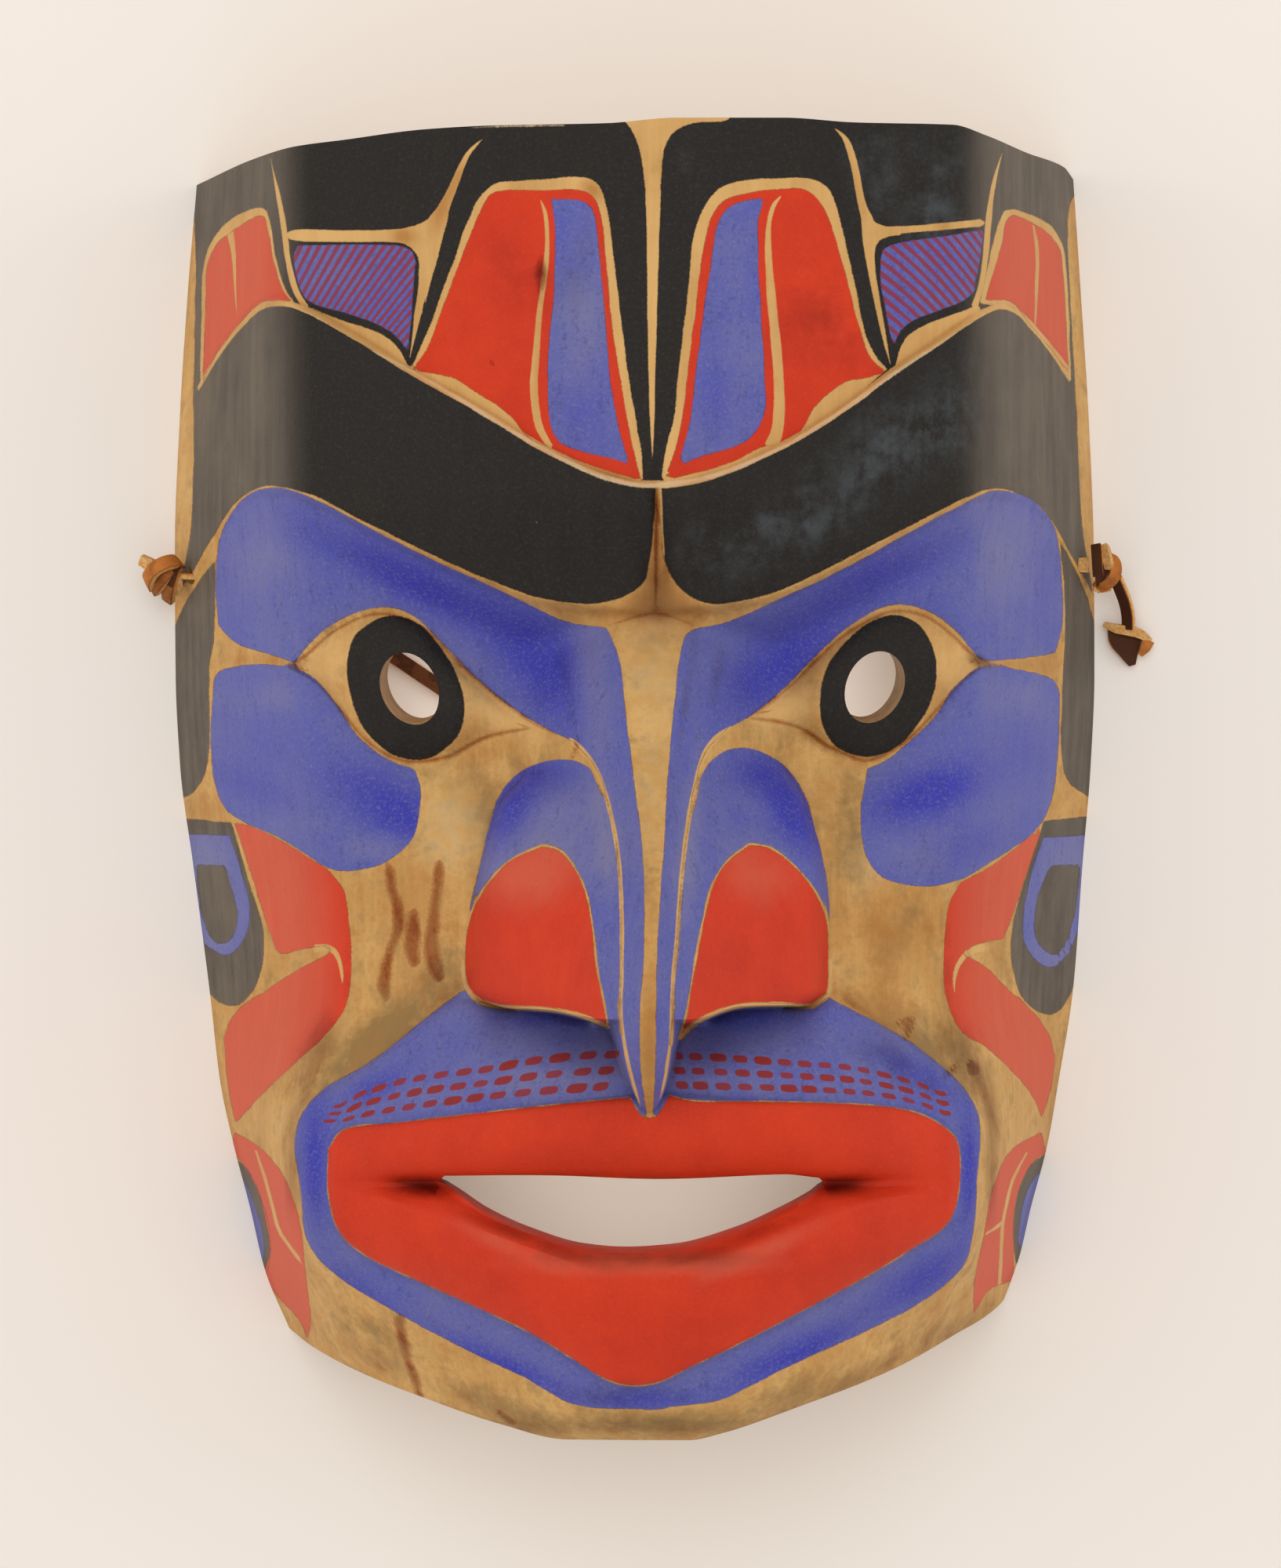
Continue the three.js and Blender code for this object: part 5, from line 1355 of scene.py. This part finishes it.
    # Worn pale wood on the edges and chips, and a painted highlight along the top of the brows
    chip_and_highlight = off_line("worn edges and highlight", 1.2).span(-1.6, 1, 1, 0) * mottle.span(0.34, 0.52, 0.3, 0.8)
    colour = g.mix(chip_and_highlight, colour, paints.bared)
    stain = off_line("stains", 2.5)
    wash = stain.span(-3.5, 3, 0.95, 0) + abs(stain).span(0, 2.5, 0.12, 0)
    colour = stained(colour, wash * mottle.span(0.3, 0.6, 0.6, 1), 182, 122, 80)
    colour = g.mix((chalk - hollowness * 0.1).span(0.74, 0.8, 0, 0.5), colour, pale)
    height = (grain["Height"] * 0.5 + chalk * 0.6 + reduce(Value.or_more, coats) * 0.25
              + brushed * 0.5)
    finish_material(g, colour, brushed.span(0.3, 0.7, 0.5, 0.68), height, 0.0003, 0.5, 0.15)
    return material


def leather(paints):
    """Lace leather: a smooth brown side and a pale suede side, with the smooth side darkened as painted
    shade where the lace lies in the hollow and in the knots' turns.
    """
    material, g = new_material("Lace leather")
    nap, broad, suede = g.noise(1600, 4, 0.7), g.noise(240, 3, 0.6), g.stored("suede")
    # Worn places, and painted shade where the suede share is below 0
    worn = broad.span(0.4, 0.8, 0, 0.6) + suede.span(0, -1)
    smooth_side = g.mix(worn, paints.leather, paints.leather_worn_and_shaded)
    pale_side = g.mix(nap.span(0.35, 0.7), paints.suede, paints.leather)
    side = suede + broad.span(0.3, 0.7, -0.15, 0.15)
    colour = g.mix(side.span(0.4, 0.6), smooth_side, pale_side)
    finish_material(g, colour, nap.span(0.3, 0.7, 0.45, 0.8), nap, 0.0004, 0.5, 0.2)
    return material


def pale_table():
    """The table's plain pale surface."""
    material, g = new_material("Pale table")
    cloud = g.noise(3, 2, 0.5)
    colour = g.mix(cloud.span(0.3, 0.7), paint_colour(240, 233, 226),
                   paint_colour(238, 231, 224))
    finish_material(g, colour, cloud.span(0.3, 0.7, 0.75, 0.8), cloud, 0.0002, 0.1)
    return material


# The lace


def lace(points, width, thick, facing, turn=0.0, steps=6, dark=0):
    """A flat lace along points in mm, of one width or of several on its way. Its smooth side
    first looks along `facing`, and it twists by `turn` degrees. Returns points, faces and the
    suede share, which is below 0 where the smooth side is darkened by `dark` as painted shade."""
    line = smooth(points, steps, along=3)
    count = len(line)
    widths = np.atleast_1d(width)
    widths = np.interp(np.linspace(0, 1, count), np.linspace(0, 1, len(widths)), widths)
    section = np.array([(-0.46, 0.45), (0, 0.5), (0.46, 0.45), (0.5, 0),
                        (0.46, -0.45), (0, -0.5), (-0.46, -0.45), (-0.5, 0)])
    suede = np.array([-dark, -dark, -dark, 1, 1, 1, 1, 1])
    tangent = np.gradient(line, axis=0)
    tangent /= np.linalg.norm(tangent, axis=1)[:, None]
    up = np.array(facing, float)
    rings = []
    for k in range(count):
        up = up - tangent[k] * (up @ tangent[k])
        up /= np.linalg.norm(up)
        side = np.cross(tangent[k], up)
        a = math.radians(turn) * k / (count - 1)
        flat, high = side * math.cos(a) + up * math.sin(a), up * math.cos(a) - side * math.sin(a)
        rings.append(line[k] + section[:, :1] * widths[k] * flat
                     + section[:, 1:] * thick * high)
    n = len(section)
    faces = [[k * n + i, k * n + (i + 1) % n, (k + 1) * n + (i + 1) % n, (k + 1) * n + i]
             for k in range(count - 1) for i in range(n)]
    faces += [list(range(n))[::-1], [(count - 1) * n + i for i in range(n)]]
    return np.vstack(rings), faces, np.tile(suede, count)


def turn_round(middle, radius, start, end, drift=0.0, tilt=0.0, count=9):
    """Points of a lace wound round the x direction, from one angle to another."""
    points = []
    for k in range(count):
        a = math.radians(start + (end - start) * k / (count - 1))
        y, z = radius * math.cos(a), radius * math.sin(a)
        points.append((middle[0] + drift * k / (count - 1) + tilt * y, middle[1] + y,
                       middle[2] + z))
    return points


def lace_piece(name, parts, material):
    points, faces, suede = np.zeros((0, 3)), [], []
    for own_points, own_faces, own_suede in parts:
        faces += [[len(points) + k for k in face] for face in own_faces]
        points = np.vstack([points, own_points])
        suede.append(own_suede)
    mesh = bpy.data.meshes.new(name)
    mesh.from_pydata((points * MM).tolist(), [], faces)
    mesh.materials.append(material)
    store(mesh, "suede", np.concatenate(suede))
    shade(mesh, LACE_EDGE)
    obj = piece_of(name, mesh)
    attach(obj, "root")
    return obj


# What a user sets


def tint(label, about, red, green, blue):
    return FloatVectorProperty(name=label, description=about, subtype="COLOR", size=3, min=0,
                               max=1, default=paint_colour(red, green, blue))


class MaskPaints(PropertyGroup):
    """Colours of the wood, the paints and the leather."""

    wood: tint("Wood", "Bare cedar", 208, 164, 100)
    wood_dark: tint("Dark grain", "Darker streaks of the cedar", 182, 134, 74)
    # Also painted shade along the bottom of the chin and at the beak's root
    wood_grey: tint("Weathered wood", "Greenish grey patches", 134, 106, 64)
    wood_bleached: tint("Bleached wood", "Dry greyish wood", 206, 180, 136)
    ochre: tint("Ochre wood", "Oiled brown patches of the cedar", 168, 112, 52)
    pale_edge: tint("Pale edge", "Clean and worn wood", 216, 174, 114)
    # Also a painted highlight along the top of the brows
    bared: tint("Bared edge", "Wood rubbed nearly white", 222, 198, 160)
    # The deep blue is also painted shade in the hollows and under the brows and wings
    blue: tint("Deep blue", "Fresh blue paint in the hollows", 58, 60, 166)
    blue_mid: tint("Blue", "Blue paint", 84, 89, 166)
    blue_chalky: tint("Chalky blue", "Worn blue paint", 102, 104, 159)
    # Also a painted highlight on the blue
    blue_faded_and_highlit: tint("Faded blue", "Blue paint rubbed grey", 126, 123, 154)
    # Dust and painted sheen on the side walls
    blue_dust_and_sheen: tint("Dusty blue", "Blue paint on the side walls", 124, 128, 190)
    blue_dark: tint("Dull blue", "Grime on the blue paint", 50, 56, 108)
    red: tint("Red", "Red paint", 206, 56, 26)
    red_deep: tint("Deep red", "Thicker red paint", 184, 46, 24)
    # Also painted sheen on the side walls and a painted highlight on the wings and the lower lip
    red_faded_and_highlit: tint("Faded red", "Red paint on the side walls", 206, 102, 76)
    red_dark: tint("Dull red", "Grime on the red paint", 150, 38, 26)
    black: tint("Black", "Black paint", 32, 29, 27)
    black_worn: tint("Worn black", "Black paint rubbed thin", 50, 46, 42)
    # Dust and painted sheen on the side walls
    black_dust_and_sheen: tint("Dusty black", "Black paint on the side walls", 110, 99, 87)
    # A painted sheen: a bluish reflection on the black paint
    black_painted_bluish_sheen: tint("Bluish black", "Haze on the black paint", 76, 82, 86)
    maroon: tint("Hatching", "Maroon strokes on the blue", 136, 44, 48)
    oxblood: tint("Dashes", "Oxblood dashes of the moustache", 136, 42, 38)
    leather: tint("Leather", "Smooth side of the lace", 188, 112, 46)
    # Also painted shade on the lace in the hollow and in the knots
    leather_worn_and_shaded: tint("Dark leather", "Worn places of the lace", 68, 33, 10)
    suede: tint("Suede", "Pale side of the lace", 220, 184, 118)


class ThongSizes(PropertyGroup):
    """Sizes of the lace."""

    width: FloatProperty(name="Width", description="Width of the flat lace", default=0.0038,
                         min=0.003, max=0.005, unit="LENGTH")
    thickness: FloatProperty(name="Thickness", description="Thickness of the lace",
                             default=0.0019, min=0.001, max=0.003, unit="LENGTH")


class MaskStage(PropertyGroup):
    """Light on the table."""

    key_power: FloatProperty(name="Key light", description="Power of the large soft light",
                             default=7.0, min=0, unit="POWER")
    fill_power: FloatProperty(name="Fill light", description="Power of the side lights",
                              default=3.0, min=0, unit="POWER")
    glow_power: FloatProperty(
        name="Light behind", description="Power of the light on the table behind the openings",
        default=0.05, min=0, unit="POWER")
    sky: FloatProperty(name="Sky", description="Brightness of the room", default=0.82, min=0)


# The steps that make the mask


def area_light(name, place, target, size, power, colour):
    light = bpy.data.lights.new(name, "AREA")
    light.shape, light.size, light.energy, light.color = "DISK", size, power, colour
    obj = bpy.data.objects.new(name, light)
    bpy.context.scene.collection.objects.link(obj)
    obj.location = place
    away = obj.location - type(obj.location)(target)
    obj.rotation_euler = away.to_track_quat("Z", "Y").to_euler()


class CEDARMASK_OT_stage(Operator):
    """Sets the camera straight above the mask, the pale table and soft light"""

    bl_idname = "cedarmask.stage"
    bl_label = "Stage and Camera"

    def execute(self, context):
        scene, settings = context.scene, context.scene.cedarmask_stage
        camera = bpy.data.cameras.new("camera")
        camera.sensor_fit, camera.sensor_height = "VERTICAL", 36.0
        camera.lens = camera.sensor_height * DOTS_AT_VIEW_HEIGHT / PICTURE_HEIGHT
        camera.clip_start = 0.01
        eye = bpy.data.objects.new("camera", camera)
        eye.location = (MIDDLE_FROM_CENTRE[0] * MM, MIDDLE_FROM_CENTRE[1] * MM,
                        VIEW_HEIGHT * MM)
        scene.collection.objects.link(eye)
        scene.camera = eye
        half = 4.0
        mesh = bpy.data.meshes.new("table")
        mesh.from_pydata([(-half, -half, 0), (half, -half, 0), (half, half, 0),
                          (-half, half, 0)], [], [[0, 1, 2, 3]])
        mesh.materials.append(pale_table())
        piece_of("table", mesh)
        world = bpy.data.worlds.new("room")
        world.use_nodes = True
        scene.world = world
        sky = world.node_tree.nodes["Background"]
        sky.inputs["Color"].default_value = (*paint_colour(255, 252, 248), 1)
        sky.inputs["Strength"].default_value = settings.sky
        area_light("key light", (-0.1, 0.6, 1.9), (0, 0, 0.05), 1.4, settings.key_power,
                   (1.0, 0.985, 0.96))
        area_light("left light", (-1.5, 0.2, 0.7), (0, 0, 0.05), 0.9, settings.fill_power,
                   (1.0, 0.97, 0.93))
        area_light("right light", (1.5, 0.3, 0.8), (0, 0, 0.05), 0.9, settings.fill_power,
                   (0.93, 0.97, 1.0))
        for place, size, share in (((0, 0.015, 0.036), 0.11, 1), ((0, -0.09, 0.045), 0.09, 0.4)):
            area_light("light behind", place, (*place[:2], 0), size,
                       settings.glow_power * share, (1.0, 0.97, 0.93))
        scene.view_settings.view_transform = "Standard"
        return {"FINISHED"}


class CEDARMASK_OT_thong(Operator):
    """Makes the leather lace, its two knots and its loose end"""

    bl_idname = "cedarmask.thong"
    bl_label = "Leather Thong"

    def execute(self, context):
        sizes = context.scene.cedarmask_thong
        width, thick = sizes.width / MM, sizes.thickness / MM
        material = leather(context.scene.cedarmask_paints)
        # The dark shares tint the smooth side darker as painted shade: the lace in the hollow and the turns
        # of the knots
        thong = lace_piece("thong_lace", [
            lace(THONG_ROUTE, width, thick, (0, 1, 0), -280, 5, 0.9)], material)
        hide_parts("thong")
        left = lace_piece("left_knot_lace", [
            lace(table("""-121,48.8,8.6 -121,50.2,12 -119.2,52.4,14 -116.8,53.8,14.2 -114.6,54.4,12.6
                -113.8,54,9.6"""), 3.8, thick, (-0.9, -0.4, 0.2)),
            lace(table("""-119.8,47.4,9 -118.4,48.6,11.8 -116.4,50.8,13 -114.8,52.4,12
                -114.2,52.6,9.6"""), 3, thick, (-0.9, -0.4, 0.2), dark=0.35),
            lace(turn_round((-114.6, 50.8, 10.4), 2.4, 20, 400, -3.6, 0.1), 4, thick, (0, 1, 0.3), dark=1),
            lace(table("""-118.2,52.6,12 -119.9,53.4,12.2 -121.4,54.2,12
                -122.9,55,11.6"""), (3.4, 3.3, 2.8), thick, (0.2, 0.1, -1), 20),
            lace(table("""-115,50,12.4 -115.6,48.4,12 -116.2,46.6,10.6
                -116.4,45,8.6"""), (2.6, 3.4, 3.6, 3.2), thick, (-0.2, 0.6, 1), dark=0.5),
            lace(table("""-113.9,51.4,11.6 -113.8,49.8,11.8 -113.9,48.2,10.6
                -114.2,46.8,8.8"""), (1.6, 2.4, 2.2, 1.6), thick, (-0.3, 0.3, -1)),
        ], material)
        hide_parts("left_knot")
        right = lace_piece("right_knot_lace", [
            lace(table("""117.5,55.4,11.4 119.2,54.3,12.8 119.6,52.2,13.2 118.9,50.2,12.6 117.2,48.8,11.4
                115.2,48.3,9.4"""), 3, thick, (0.5, 0.1, 1)),
            lace(turn_round((115.8, 51.4, 10.2), 2, 20, 400, 2.4, 0.1), 3.6, thick, (0, 1, 0.3), dark=1),
            lace(table("""114.9,58.5,12.2 114.9,56.2,13.2 115,53.6,13.4
                115.3,51,12.4"""), 2.7, thick, (-0.4, 0, 1), 15, dark=1),
            lace(table("""116.8,58.3,11.8 117.2,56.6,13 117.7,54.6,13.6
                118.2,52.8,12.8"""), 2.4, thick, (0.4, 0, -1), -20),
            lace(table("114.6,48.6,9.6 116.4,48.2,9.6 118.6,48.6,9.4"), 2.6, thick, (0, 0.3, -1)),
        ], material)
        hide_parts("right_knot")
        end = lace_piece("thong_end_lace", [
            lace(table("""120,50.6,9.6 121.4,48,7.6 123,44.4,5.6 123.8,41,4.2
                123.9,38,3.6"""), 3.2, thick, (-0.75, 0, 1), 0, dark=1),
            lace(table("""118,39.3,1.9 121,38.2,3 124.2,37.6,3.4 127,36.8,3.2
                129.4,35.2,2"""), (1.2, 2.4, 2.6, 2.4, 1.6), 1.6, (0, 0.3, -1)),
            lace(table("""124.1,37.2,1.6 123.6,35.3,1.8 124.2,32.4,1.6
                125.1,29,1.2"""), (11.6, 9.2, 5.6, 1.8), 1.6, (0, 0, 1), dark=1),
            lace(table("129,35.2,2.2 128.2,33.4,2.5 126.9,31.6,2.2"), (3.4, 2.8, 1.4), 1.6, (0.2, 0, 1)),
        ], material)
        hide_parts("thong_end")
        smooth(np.array(THONG_ROUTE) * MM, 4, along=3).tolist()
        return {"FINISHED"}


class CEDARMASK_OT_mask(Operator):
    """Carves the mask from its stencil, pierces it and lays out its paint"""

    bl_idname = "cedarmask.mask"
    bl_label = "Cedar Mask"

    def execute(self, context):
        paints = context.scene.cedarmask_paints
        mesh = carve()
        mesh.materials.append(painted_cedar(paints))
        mesh.materials.append(bare_cedar(paints))
        obj = piece_of("carved_mask", mesh)
        pierce(obj)
        lay_out_paint(obj.data)
        shade(obj.data, CARVED_EDGE)
        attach(obj, "root")
        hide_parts("cedar_mask")
        return {"FINISHED"}


class CEDARMASK_PT_panel(Panel):
    """Lists the steps that make the mask"""

    bl_label = "Cedar Mask"
    bl_idname = "CEDARMASK_PT_panel"
    bl_space_type = "VIEW_3D"
    bl_region_type = "UI"
    bl_category = "Cedar Mask"

    def draw(self, context):
        column = self.layout.column()
        for operator in OPERATORS:
            column.operator(operator.bl_idname)
        for group in (context.scene.cedarmask_thong, context.scene.cedarmask_stage,
                      context.scene.cedarmask_paints):
            for name in group.__annotations__:
                column.prop(group, name)


OPERATORS = (CEDARMASK_OT_stage, CEDARMASK_OT_thong, CEDARMASK_OT_mask)
CLASSES = (MaskPaints, ThongSizes, MaskStage, *OPERATORS, CEDARMASK_PT_panel)


def register():
    for cls in CLASSES:
        bpy.utils.register_class(cls)
    bpy.types.Scene.cedarmask_paints = PointerProperty(type=MaskPaints)
    bpy.types.Scene.cedarmask_thong = PointerProperty(type=ThongSizes)
    bpy.types.Scene.cedarmask_stage = PointerProperty(type=MaskStage)


def unregister():
    del bpy.types.Scene.cedarmask_stage
    del bpy.types.Scene.cedarmask_thong
    del bpy.types.Scene.cedarmask_paints
    for cls in reversed(CLASSES):
        bpy.utils.unregister_class(cls)


def main():
    register()
    bpy.ops.cedarmask.stage()
    bpy.ops.cedarmask.thong()
    bpy.ops.cedarmask.mask()


if __name__ == "__main__":
    main()
